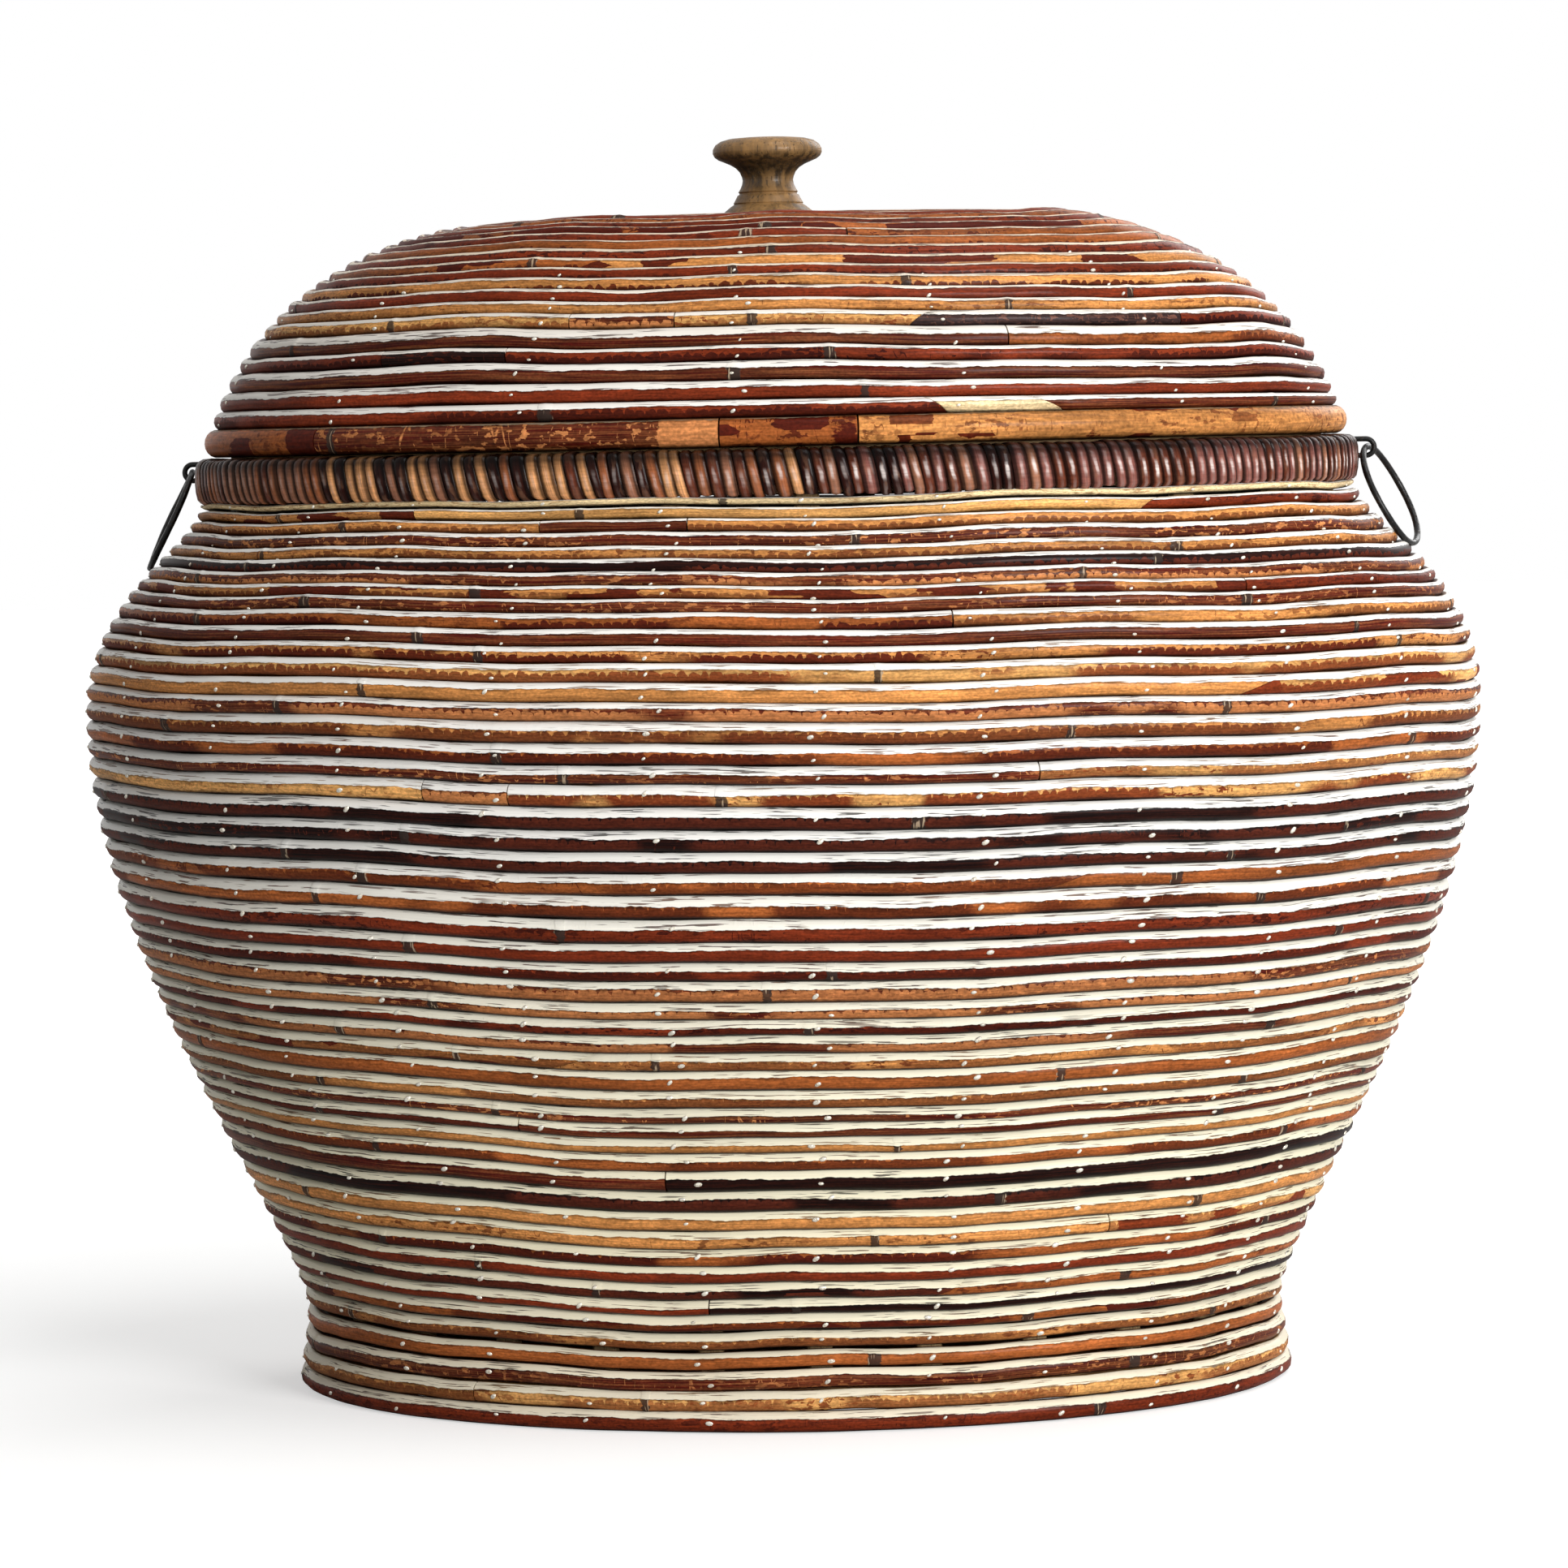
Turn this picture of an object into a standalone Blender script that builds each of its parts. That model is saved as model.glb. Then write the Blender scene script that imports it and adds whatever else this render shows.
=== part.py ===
"""An oval lidded basket of whole round canes, stacked in courses and nailed to upright ribs.

Metres, +Z up. The origin is on the floor under the middle of the foot, and X runs along the oval.
Every oval of the basket has the same OVAL_SIDES corners, so pieces that touch have parallel facets.
"""

import math

import bmesh
import bpy
from mathutils import Matrix, Vector
from mathutils.geometry import interpolate_bezier

GAP = 0.0003  # left between two pieces that touch
OVAL_SIDES = 24
LINE_STEPS = 40  # points drawn on each stretch of a side line
DEPTH_RATIO = 0.70  # an oval's width across as a share of its length

# The walls of round cane
CANE = 0.0066  # their thickness
GROOVE = 0.0019  # depth of the furrow between two courses

# The body's side line: half lengths of the oval, their heights, and how far the line stays upright there
FOOT_HALF = 0.168
FOOT_UPRIGHT = 0.010
WAIST_HALF = 0.165
WAIST_HEIGHT = 0.027
WAIST_UPRIGHT_BELOW = 0.008
WAIST_UPRIGHT_ABOVE = 0.0217
BELLY_HALF = 0.235
BELLY_HEIGHT = 0.2286
BELLY_UPRIGHT_BELOW = 0.0831
BELLY_UPRIGHT_ABOVE = 0.0409
NECK_HALF = 0.194
NECK_HEIGHT = 0.2995
NECK_UPRIGHT = 0.0123

# The bands of canes, from the foot up and from the lid's edge up: name, number of courses, share of the
# side line for each course, and spans of the inner face
BODY_BANDS = (
    ("foot_courses", 5, 0.0065, 1),
    ("lower_courses", 11, 0.0065, 2),
    ("middle_courses", 10, 0.0062, 2),
    ("belly_courses", 9, 0.0072, 2),
    ("shoulder_courses", 17, 0.0057, 3),
)
LID_BANDS = (
    ("lid_side_courses", 9, 0.0065, 2),
    ("lid_shoulder_courses", 9, 0.0065, 2),
)

# Ribs, and the bottom board that the body's ribs stand on
BODY_RIBS = 24
LID_RIBS = 14
RIB_WIDTH = 0.008
RIB_THICK = 0.004
BOARD_HEIGHT = 0.012
BOARD_THICK = 0.006

# The bound rim
RIM_HALF = 0.1955
RIM_RISE = 0.0145  # from the neck to the rim's top
RIM_ROUND = 0.003  # its outer edge
RIM_EASE = 0.001  # its inner edge
BINDING = 0.0012

# The lid: its thick edge course, the collar inside it, and the dome's side line
LID_EDGE_HALF = 0.192
LID_EDGE_THICK = 0.0085
LID_EDGE_TALL = 0.0095
LID_EDGE_ROUND = 0.0025
LID_FIT = 0.0008  # play between the lid's collar and the rim
COLLAR_DROP = 0.011
COLLAR_THICK = 0.003
LID_HALF = 0.1895
LID_RISE = 0.076  # from the rim's top to the lid's flat top
LID_SHOULDER_HALF = 0.1686
LID_SHOULDER_DROP = 0.006
LID_TOP_HALF = 0.1013
LID_TOP_REACH = 0.004
CROWN_HALF_DEPTH = 0.034
CROWN_THICK = 0.004
CROWN_PLAY = 0.0012  # between the crown board's edge and the ribs' ends

# The turned knob, with heights over the lid's top, and its screw
KNOB_FOOT_RADIUS = 0.0167
KNOB_FOOT_HEIGHT = 0.0049
KNOB_WAIST_RADIUS = 0.0101
KNOB_WAIST_HEIGHT = 0.0081
KNOB_NECK_RADIUS = 0.0084
KNOB_NECK_HEIGHT = 0.0130
KNOB_DISC_RADIUS = 0.01835
KNOB_DISC_HEIGHT = 0.0226
KNOB_HEIGHT = 0.0270
KNOB_ROUND = 0.002  # the edge of its disc
KNOB_LINE = 0.0005  # depth of the turned line at its waist
SCREW_RADIUS = 0.002
SCREW_BITE = 0.010  # how far the screw reaches into the knob
SCREW_HEAD_RADIUS = 0.004
SCREW_HEAD_THICK = 0.0025
WASHER_RADIUS = 0.007
WASHER_THICK = 0.0012
TURNED_SIDES = 18

# The wire rings, and the staples that they hang in
RING_RADIUS = 0.0178
RING_WIRE = 0.00125
RING_SIDES = 18
WIRE_SIDES = 6
LEFT_TWIST = math.radians(11)  # how far each ring has turned in its staple, with its front limb to the wall
RIGHT_TWIST = math.radians(15)
HINGE_DROP = 0.0045  # from the rim's top
RIM_CLEARANCE = 0.0012  # between the rim and the ring's wire
STAPLE_WIRE = 0.0009
STAPLE_PLAY = 0.0006  # round the ring's wire
STAPLE_BITE = 0.005  # how far the staple's legs reach into the rim
STAPLE_BENDS = 6  # straight pieces that its half round end is drawn with
BORE_SIDES = 8

CANE_BROWN = (0.23, 0.075, 0.028)
CANE_TAN = (0.46, 0.23, 0.09)
RIB_STRAW = (0.52, 0.36, 0.18)
BOARD_WOOD = (0.36, 0.22, 0.11)
BINDING_DARK = (0.08, 0.035, 0.022)
KNOB_OLIVE = (0.15, 0.105, 0.055)
IRON_BLACK = (0.012, 0.011, 0.011)
SCREW_STEEL = (0.45, 0.44, 0.42)


class SideLine:
    """A wall's side line, from Bezier stretches of half length and height, read by distance along it."""

    def __init__(self, *stretches):
        self.points = []
        for stretch in stretches:
            handles = [Vector((half, 0.0, height)) for half, height in stretch]
            drawn = interpolate_bezier(*handles, LINE_STEPS)
            self.points += drawn[1:] if self.points else drawn
        self.distances = [0.0]
        for start, end in zip(self.points, self.points[1:]):
            self.distances.append(self.distances[-1] + (end - start).length)
        self.length = self.distances[-1]

    def step_at(self, distance):
        """The drawn step that holds a distance."""
        return next((i for i, end in enumerate(self.distances[1:]) if distance <= end), len(self.points) - 2)

    def oval(self, distance, depth=0.0, floor=0.0):
        """The oval at a distance along the line and a depth in from it, cut level at a floor."""
        i = self.step_at(distance)
        along = self.points[i + 1] - self.points[i]
        point = self.points[i] + along.normalized() * (distance - self.distances[i])
        inward = Vector((-along.z, 0.0, along.x)).normalized() * depth
        return (point.x + inward.x, point.x * DEPTH_RATIO + inward.x, max(point.z + inward.z, floor))

    def distance_at(self, height):
        """The distance where the line reaches a height."""
        steps = range(len(self.points) - 1)
        i = next((i for i in steps if self.points[i + 1].z > height), steps[-1])
        rise = self.points[i + 1].z - self.points[i].z
        share = (height - self.points[i].z) / rise
        return self.distances[i] + share * (self.distances[i + 1] - self.distances[i])


# Heights and half lengths that follow from the sizes above
RIM_BASE = NECK_HEIGHT + GAP
RIM_TOP = NECK_HEIGHT + RIM_RISE
LID_BOTTOM = RIM_TOP + GAP
LID_EDGE_TOP = LID_BOTTOM + LID_EDGE_TALL
LID_TOP = RIM_TOP + LID_RISE
PANEL_UNDER = LID_TOP - CANE
COLLAR_HALF = LID_EDGE_HALF - LID_EDGE_THICK - GAP
RIM_INNER_HALF = COLLAR_HALF + LID_FIT
BOARD_TOP = BOARD_HEIGHT + BOARD_THICK
STAPLE_LOOP = RING_WIRE + STAPLE_PLAY + STAPLE_WIRE
HINGE_HALF = RIM_HALF + RING_WIRE + RIM_CLEARANCE
HINGE_HEIGHT = RIM_TOP - HINGE_DROP

BODY_LINE = SideLine(
    (
        (FOOT_HALF, 0.0),
        (FOOT_HALF, FOOT_UPRIGHT),
        (WAIST_HALF, WAIST_HEIGHT - WAIST_UPRIGHT_BELOW),
        (WAIST_HALF, WAIST_HEIGHT),
    ),
    (
        (WAIST_HALF, WAIST_HEIGHT),
        (WAIST_HALF, WAIST_HEIGHT + WAIST_UPRIGHT_ABOVE),
        (BELLY_HALF, BELLY_HEIGHT - BELLY_UPRIGHT_BELOW),
        (BELLY_HALF, BELLY_HEIGHT),
    ),
    (
        (BELLY_HALF, BELLY_HEIGHT),
        (BELLY_HALF, BELLY_HEIGHT + BELLY_UPRIGHT_ABOVE),
        (NECK_HALF, NECK_HEIGHT - NECK_UPRIGHT),
        (NECK_HALF, NECK_HEIGHT),
    ),
)
LID_LINE = SideLine(
    (
        (LID_HALF, LID_EDGE_TOP + GAP),
        (LID_SHOULDER_HALF, LID_TOP - LID_SHOULDER_DROP),
        (LID_TOP_HALF + LID_TOP_REACH, LID_TOP),
        (LID_TOP_HALF, LID_TOP),
    ),
)


def clear_scene():
    """Remove what a new Blender file starts with."""
    for thing in list(bpy.data.objects):
        bpy.data.objects.remove(thing, do_unlink=True)


def new_collection(name):
    """Add an empty collection to the scene."""
    collection = bpy.data.collections.new(name)
    bpy.context.scene.collection.children.link(collection)
    return collection


def place(thing, collection, color, roughness, metallic=0.0, sharp=math.radians(50)):
    """Put an object in its collection, shaded smooth up to an angle, with a material of its own."""
    for old in list(thing.users_collection):
        old.objects.unlink(thing)
    collection.objects.link(thing)
    finish = bpy.data.materials.new(thing.name)
    finish.use_nodes = True
    shader = finish.node_tree.nodes["Principled BSDF"]
    shader.inputs["Base Color"].default_value = (*color, 1.0)
    shader.inputs["Roughness"].default_value = roughness
    shader.inputs["Metallic"].default_value = metallic
    thing.data.materials.clear()
    thing.data.materials.append(finish)
    if thing.type == "MESH":
        thing.data.shade_smooth()
        thing.data.set_sharp_from_angle(angle=sharp)
    return thing


def loft(name, loops, ring_shaped):
    """A skin over loops of points: round a closed section, or from one capped end to the other."""
    bm = bmesh.new()
    rows = [[bm.verts.new(point) for point in loop] for loop in loops]
    spans = list(zip(rows, rows[1:]))
    if ring_shaped:
        spans.append((rows[-1], rows[0]))
    else:
        bm.faces.new(rows[0])
        bm.faces.new(rows[-1])
    for low, high in spans:
        for i in range(len(low)):
            bm.faces.new((low[i - 1], low[i], high[i], high[i - 1]))
    bmesh.ops.recalc_face_normals(bm, faces=bm.faces)
    mesh = bpy.data.meshes.new(name)
    bm.to_mesh(mesh)
    bm.free()
    return bpy.data.objects.new(name, mesh)


def oval_corner(oval, index):
    """A corner of an oval, which is a half length, a half depth and a height."""
    half_length, half_depth, height = oval
    turn = math.tau * index / OVAL_SIDES
    return Vector((half_length * math.cos(turn), half_depth * math.sin(turn), height))


def oval_loop(oval):
    """All corners of an oval."""
    return [oval_corner(oval, index) for index in range(OVAL_SIDES)]


def oval_loft(name, ovals, ring_shaped):
    """A skin over ovals: round a closed section, or from one capped end to the other."""
    return loft(name, [oval_loop(oval) for oval in ovals], ring_shaped)


def oval_point(oval, corners):
    """The point on an oval's facets that lies a number of corners round it."""
    index = math.floor(corners)
    return oval_corner(oval, index).lerp(oval_corner(oval, index + 1), corners - index)


def bore(name, pieces, cutters, radius, reach):
    """Cut a round hole of a radius through pieces, with a cutter that reaches up and down from its origin."""
    bpy.ops.mesh.primitive_cylinder_add(
        vertices=BORE_SIDES, radius=radius / math.cos(math.pi / BORE_SIDES), depth=2 * reach
    )
    cutter = bpy.context.object
    cutter.name = name
    for old in list(cutter.users_collection):
        old.objects.unlink(cutter)
    cutters.objects.link(cutter)
    cutter.hide_render = True
    cutter.display_type = "WIRE"
    for piece in pieces:
        cut = piece.modifiers.new(name, "BOOLEAN")
        cut.operation = "DIFFERENCE"
        cut.object = cutter
    return cutter


def rim_loft(name, section):
    """A band of a section in half lengths and heights, which runs parallel to the neck all the way round."""
    neck_depth = NECK_HALF * DEPTH_RATIO
    ovals = [(half, neck_depth + half - NECK_HALF, height) for half, height in section]
    return oval_loft(name, ovals, ring_shaped=True)


def even_places(count):
    """Places round an oval, in corners, that split its length evenly, with the first half a space in."""
    corners = oval_loop((1.0, DEPTH_RATIO, 0.0))
    facets = [(end - start).length for start, end in zip(corners, corners[1:] + corners[:1])]
    space = sum(facets) / count
    places = []
    for number in range(count):
        left = (number + 0.5) * space
        index = 0
        while left > facets[index]:
            left -= facets[index]
            index += 1
        places.append(index + left / facets[index])
    return places


def band_edges(line, bands):
    """The distances along a side line where its bands start and end."""
    shares = [courses * share for _, courses, share, _ in bands]
    return [line.length * sum(shares[:number]) / sum(shares) for number in range(len(bands) + 1)]


def cane_band(name, line, start, end, courses, spans, floor):
    """A band of stacked courses: a crest on each cane, a groove between, and a plain inner face."""
    start += GAP / 2 if start > 0.0 else 0.0
    end -= GAP / 2 if end < line.length else 0.0
    pitch = (end - start) / courses
    ovals = []
    for course in range(courses):
        ovals.append(line.oval(start + course * pitch, GROOVE, floor))
        ovals.append(line.oval(start + (course + 0.5) * pitch, 0.0, floor))
    ovals.append(line.oval(end, GROOVE, floor))
    ovals += [line.oval(end - (end - start) * span / spans, CANE, floor) for span in range(spans + 1)]
    return oval_loft(name, ovals, ring_shaped=True)


def cane_bands(parts, line, bands, colors, floor):
    """All bands of a wall, and the distances along its side line where its inner facets meet."""
    edges = band_edges(line, bands)
    places = []
    for number, (name, courses, _, spans) in enumerate(bands):
        start, end = edges[number : number + 2]
        band = cane_band(name, line, start, end, courses, spans, floor)
        place(band, parts, colors[number % len(colors)], 0.35)
        places += [start + (end - start) * span / spans for span in range(spans)]
    return places + [line.length]


def rib(name, corners, ovals):
    """A flat strip that follows a wall's inner facets: each pair of ovals holds its outer and inner face."""
    loops = []
    for outer, inner in ovals:
        middle = oval_point(outer, corners)
        index = math.floor(corners)
        facet = (oval_corner(outer, index + 1) - oval_corner(outer, index)).length
        reach = RIB_WIDTH / 2 / facet
        left, right = oval_point(outer, corners - reach), oval_point(outer, corners + reach)
        inward = oval_point(inner, corners) - middle
        loops.append([left, right, right + inward, left + inward])
    return loft(name, loops, ring_shaped=False)


def inner_oval(line, places, height, depth):
    """The oval at a height, a depth in from a wall's inner facets, which meet at the given places."""
    ovals = [line.oval(distance, CANE + depth) for distance in places]
    low, high = next(pair for pair in zip(ovals, ovals[1:]) if pair[1][2] >= height)
    share = (height - low[2]) / (high[2] - low[2])
    return tuple(start + (end - start) * share for start, end in zip(low, high))


def make_body(parts):
    """The cane wall, its ribs and the bottom board."""
    places = cane_bands(parts, BODY_LINE, BODY_BANDS, (CANE_BROWN, CANE_TAN), 0.0)
    board = [inner_oval(BODY_LINE, places, height, GAP) for height in (BOARD_HEIGHT, BOARD_TOP)]
    place(oval_loft("bottom_board", board, ring_shaped=False), parts, BOARD_WOOD, 0.7)

    floor = BOARD_TOP + GAP
    faces = (GAP, GAP + RIB_THICK)
    ovals = [[inner_oval(BODY_LINE, places, floor, depth) for depth in faces]]
    for distance in places:
        if BODY_LINE.oval(distance)[2] > floor + RIB_THICK:
            ovals.append([BODY_LINE.oval(distance, CANE + depth) for depth in faces])
    for number, corners in enumerate(even_places(BODY_RIBS)):
        place(rib(f"body_rib_{number + 1:02}", corners, ovals), parts, RIB_STRAW, 0.6)


def make_rim(parts, cutters):
    """The hoop on top of the wall and the binding folded over it, both bored for the staples' legs."""
    outer, inner = RIM_HALF, RIM_INNER_HALF
    shell = [
        (outer - RIM_EASE, RIM_BASE),
        (outer, RIM_BASE + RIM_ROUND),
        (outer, RIM_TOP - RIM_ROUND),
        (outer - RIM_ROUND, RIM_TOP),
        (inner + RIM_EASE, RIM_TOP),
        (inner, RIM_TOP - RIM_EASE),
        (inner, RIM_BASE),
    ]
    ceiling = RIM_TOP - BINDING
    hollow = [
        (inner + BINDING, RIM_BASE),
        (inner + BINDING, ceiling),
        (outer - RIM_ROUND, ceiling),
        (outer - BINDING, RIM_TOP - RIM_ROUND - BINDING / 2),
        (outer - BINDING - RIM_EASE, RIM_BASE),
    ]
    binding = rim_loft("rim_binding", shell + hollow)
    place(binding, parts, BINDING_DARK, 0.3)

    side = outer - BINDING - RIM_EASE - GAP
    core = [
        (side, RIM_BASE),
        (side, RIM_TOP - RIM_ROUND - BINDING),
        (outer - RIM_ROUND - GAP, ceiling - GAP),
        (inner + BINDING + GAP, ceiling - GAP),
        (inner + BINDING + GAP, RIM_BASE),
    ]
    hoop = rim_loft("rim_hoop", core)
    place(hoop, parts, RIB_STRAW, 0.6)

    for side_name, direction in (("left", -1), ("right", 1)):
        for leg_name, rise in (("upper", STAPLE_LOOP), ("lower", -STAPLE_LOOP)):
            name = f"{side_name}_{leg_name}_bore"
            cutter = bore(name, (binding, hoop), cutters, STAPLE_WIRE + GAP, STAPLE_BITE + GAP)
            cutter.location = (direction * RIM_HALF, 0.0, HINGE_HEIGHT + rise)
            cutter.rotation_euler.y = math.pi / 2


def make_lid(parts, cutters):
    """The lid's edge course, collar, domed courses, flat top, ribs and crown board."""
    edge_inner = LID_EDGE_HALF - LID_EDGE_THICK
    edge = [
        (edge_inner, LID_BOTTOM),
        (LID_EDGE_HALF - LID_EDGE_ROUND, LID_BOTTOM),
        (LID_EDGE_HALF, LID_BOTTOM + LID_EDGE_ROUND),
        (LID_EDGE_HALF, LID_EDGE_TOP - LID_EDGE_ROUND),
        (LID_EDGE_HALF - LID_EDGE_ROUND, LID_EDGE_TOP),
        (edge_inner, LID_EDGE_TOP),
    ]
    place(rim_loft("lid_edge_course", edge), parts, CANE_TAN, 0.35)

    collar_inner = COLLAR_HALF - COLLAR_THICK
    collar = [
        (collar_inner, LID_BOTTOM - COLLAR_DROP),
        (COLLAR_HALF, LID_BOTTOM - COLLAR_DROP),
        (COLLAR_HALF, LID_EDGE_TOP),
        (collar_inner, LID_EDGE_TOP),
    ]
    place(rim_loft("lid_collar", collar), parts, RIB_STRAW, 0.6)

    floor = LID_EDGE_TOP + GAP
    places = cane_bands(parts, LID_LINE, LID_BANDS, (CANE_BROWN,), floor)
    make_lid_top(parts, cutters)

    faces = (CANE + GAP, CANE + GAP + RIB_THICK)
    places[0] = LID_LINE.distance_at(floor + RIB_THICK)
    ovals = [[LID_LINE.oval(distance, depth, floor) for depth in faces] for distance in places]
    half_depth = CROWN_HALF_DEPTH + CROWN_PLAY
    half_length = LID_TOP_HALF * (1 - DEPTH_RATIO) + half_depth
    ovals.append([(half_length, half_depth, LID_TOP - depth) for depth in faces])
    for number, corners in enumerate(even_places(LID_RIBS)):
        place(rib(f"lid_rib_{number + 1:02}", corners, ovals), parts, RIB_STRAW, 0.6)


def make_lid_top(parts, cutters):
    """The flat top: rings of cane that close on a straight one, over the crown board, bored for the screw."""
    half_depth = LID_TOP_HALF * DEPTH_RATIO - GAP
    rings = int(half_depth / CANE)
    core = half_depth - rings * CANE
    if core < GROOVE:
        rings, core = rings - 1, core + CANE

    def ring(inset, drop):
        """An oval of the flat top, a distance in from its edge."""
        return (LID_TOP_HALF - GAP - inset, half_depth - inset, LID_TOP - drop)

    ovals = [ring(0.0, CANE), ring(0.0, GROOVE)]
    for number in range(rings):
        ovals += [ring((number + 0.5) * CANE, 0.0), ring((number + 1) * CANE, GROOVE)]
    ovals.append(ring(rings * CANE + core / 2, 0.0))
    panel = oval_loft("lid_top_courses", ovals, ring_shaped=False)
    place(panel, parts, CANE_BROWN, 0.35)

    under = PANEL_UNDER - GAP
    crown_half = LID_TOP_HALF * (1 - DEPTH_RATIO) + CROWN_HALF_DEPTH
    crown = [(crown_half, CROWN_HALF_DEPTH, under - CROWN_THICK), (crown_half, CROWN_HALF_DEPTH, under)]
    crown = oval_loft("lid_crown_board", crown, ring_shaped=False)
    place(crown, parts, BOARD_WOOD, 0.7)

    cutter = bore("screw_bore", (panel, crown), cutters, SCREW_RADIUS + GAP, 2 * (CANE + CROWN_THICK))
    cutter.location.z = PANEL_UNDER


def turned(name, profile):
    """A piece turned round Z from a profile of radii and heights, which runs down its outer side."""
    mesh = bpy.data.meshes.new(name)
    edges = [(i, i + 1) for i in range(len(profile) - 1)]
    mesh.from_pydata([(radius, 0.0, height) for radius, height in profile], edges, [])
    thing = bpy.data.objects.new(name, mesh)
    screw = thing.modifiers.new("turn", "SCREW")
    screw.steps = TURNED_SIDES
    screw.render_steps = TURNED_SIDES
    screw.use_merge_vertices = True
    screw.merge_threshold = 0.0001
    screw.use_normal_calculate = False
    return thing


def make_knob(parts):
    """The turned knob on the lid's top, and the screw with its washer that holds it from inside."""
    hole = SCREW_RADIUS + GAP
    depth = SCREW_BITE + GAP
    neck_to_disc = (KNOB_NECK_RADIUS + KNOB_DISC_RADIUS) / 2
    waist_to_foot = (KNOB_WAIST_RADIUS + KNOB_FOOT_RADIUS) / 2
    profile = [
        (0.0, KNOB_HEIGHT),
        (KNOB_DISC_RADIUS - 2 * KNOB_ROUND, KNOB_HEIGHT),
        (KNOB_DISC_RADIUS - KNOB_ROUND / 2, KNOB_DISC_HEIGHT + KNOB_ROUND),
        (KNOB_DISC_RADIUS, KNOB_DISC_HEIGHT),
        (KNOB_DISC_RADIUS - KNOB_ROUND, KNOB_DISC_HEIGHT - KNOB_ROUND),
        (neck_to_disc - KNOB_ROUND, (KNOB_NECK_HEIGHT + KNOB_DISC_HEIGHT) / 2),
        (KNOB_NECK_RADIUS, KNOB_NECK_HEIGHT),
        (KNOB_WAIST_RADIUS, KNOB_WAIST_HEIGHT + KNOB_LINE),
        (KNOB_WAIST_RADIUS - KNOB_LINE, KNOB_WAIST_HEIGHT),
        (KNOB_WAIST_RADIUS + KNOB_LINE, KNOB_WAIST_HEIGHT - KNOB_LINE),
        (waist_to_foot - 2 * KNOB_LINE, KNOB_FOOT_HEIGHT),
        (KNOB_FOOT_RADIUS, 0.0),
        (hole, 0.0),
        (hole, depth),
        (0.0, depth),
    ]
    knob = turned("knob", profile)
    knob.location.z = LID_TOP + GAP
    place(knob, parts, KNOB_OLIVE, 0.5)

    under = PANEL_UNDER - 2 * GAP - CROWN_THICK
    top, base = 0.0, -WASHER_THICK
    section = [(WASHER_RADIUS, top), (WASHER_RADIUS, base), (hole, base), (hole, top), (WASHER_RADIUS, top)]
    washer = turned("knob_washer", section)
    washer.location.z = under
    place(washer, parts, SCREW_STEEL, 0.4, metallic=1.0)

    head = under - WASHER_THICK - GAP
    tip = LID_TOP + GAP + SCREW_BITE - head
    shank = [(0.0, tip), (SCREW_RADIUS, tip - SCREW_RADIUS), (SCREW_RADIUS, 0.0)]
    screw = turned("knob_screw", shank + [(SCREW_HEAD_RADIUS, 0.0), (0.0, -SCREW_HEAD_THICK)])
    screw.location.z = head
    place(screw, parts, SCREW_STEEL, 0.4, metallic=1.0)


def ring_lean():
    """How far a hanging ring stands out from straight down when it lies on the shoulder."""
    hinge = Vector((HINGE_HALF, 0.0, HINGE_HEIGHT))
    step = math.radians(0.25)
    lean = math.pi / 2
    clear = True
    while clear:
        lean -= step
        bottom = hinge + Vector((math.sin(lean), 0.0, -math.cos(lean))) * 2 * RING_RADIUS
        clear = min((bottom - point).length for point in BODY_LINE.points) > RING_WIRE + GAP
    return lean + step


def make_handles(parts):
    """A staple and its wire ring at each end, the ring lying on the shoulder with its origin on its hinge."""
    lean = ring_lean()
    for side_name, direction, twist in (("left", -1, LEFT_TWIST), ("right", 1, RIGHT_TWIST)):
        bpy.ops.mesh.primitive_torus_add(
            major_segments=RING_SIDES,
            minor_segments=WIRE_SIDES,
            major_radius=RING_RADIUS,
            minor_radius=RING_WIRE,
        )
        ring = bpy.context.object
        ring.name = ring.data.name = f"{side_name}_ring"
        ring.data.transform(Matrix.Rotation(math.pi / 2, 4, "Y") @ Matrix.Rotation(math.pi / 2, 4, "Z"))
        hung = Matrix.Rotation(-direction * twist, 4, "Z") @ Matrix.Translation((0.0, 0.0, -RING_RADIUS))
        ring.data.transform(hung)
        ring.location = (direction * HINGE_HALF, 0.0, HINGE_HEIGHT)
        ring.rotation_euler.y = -direction * lean
        place(ring, parts, IRON_BLACK, 0.35, metallic=1.0)

        leg = RIM_HALF - STAPLE_BITE
        path = [(leg, STAPLE_LOOP), (HINGE_HALF, STAPLE_LOOP)]
        for bend in range(1, STAPLE_BENDS):
            angle = math.pi * (0.5 - bend / STAPLE_BENDS)
            path.append((HINGE_HALF + STAPLE_LOOP * math.cos(angle), STAPLE_LOOP * math.sin(angle)))
        path += [(HINGE_HALF, -STAPLE_LOOP), (leg, -STAPLE_LOOP)]
        curve = bpy.data.curves.new(f"{side_name}_staple", "CURVE")
        curve.dimensions = "3D"
        curve.bevel_depth = STAPLE_WIRE
        curve.bevel_resolution = 1
        curve.use_fill_caps = True
        spline = curve.splines.new("POLY")
        spline.points.add(len(path) - 1)
        for point, (half, rise) in zip(spline.points, path):
            point.co = (direction * half, 0.0, HINGE_HEIGHT + rise, 1.0)
        place(bpy.data.objects.new(curve.name, curve), parts, IRON_BLACK, 0.35, metallic=1.0)


def main():
    """Make the whole basket."""
    clear_scene()
    parts = new_collection("lidded_basket")
    cutters = new_collection("cutters")
    make_body(parts)
    make_rim(parts, cutters)
    make_lid(parts, cutters)
    make_knob(parts)
    make_handles(parts)


main()
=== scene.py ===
"""The looks of an oval lidded basket: stacked canes, bound rim, turned knob and wire rings.

Metres, +Z up, X along the oval, and the camera looks along +Y. Angles round an oval run anticlockwise from
+X, so the front of the basket is at three quarters of a turn.
"""

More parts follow.
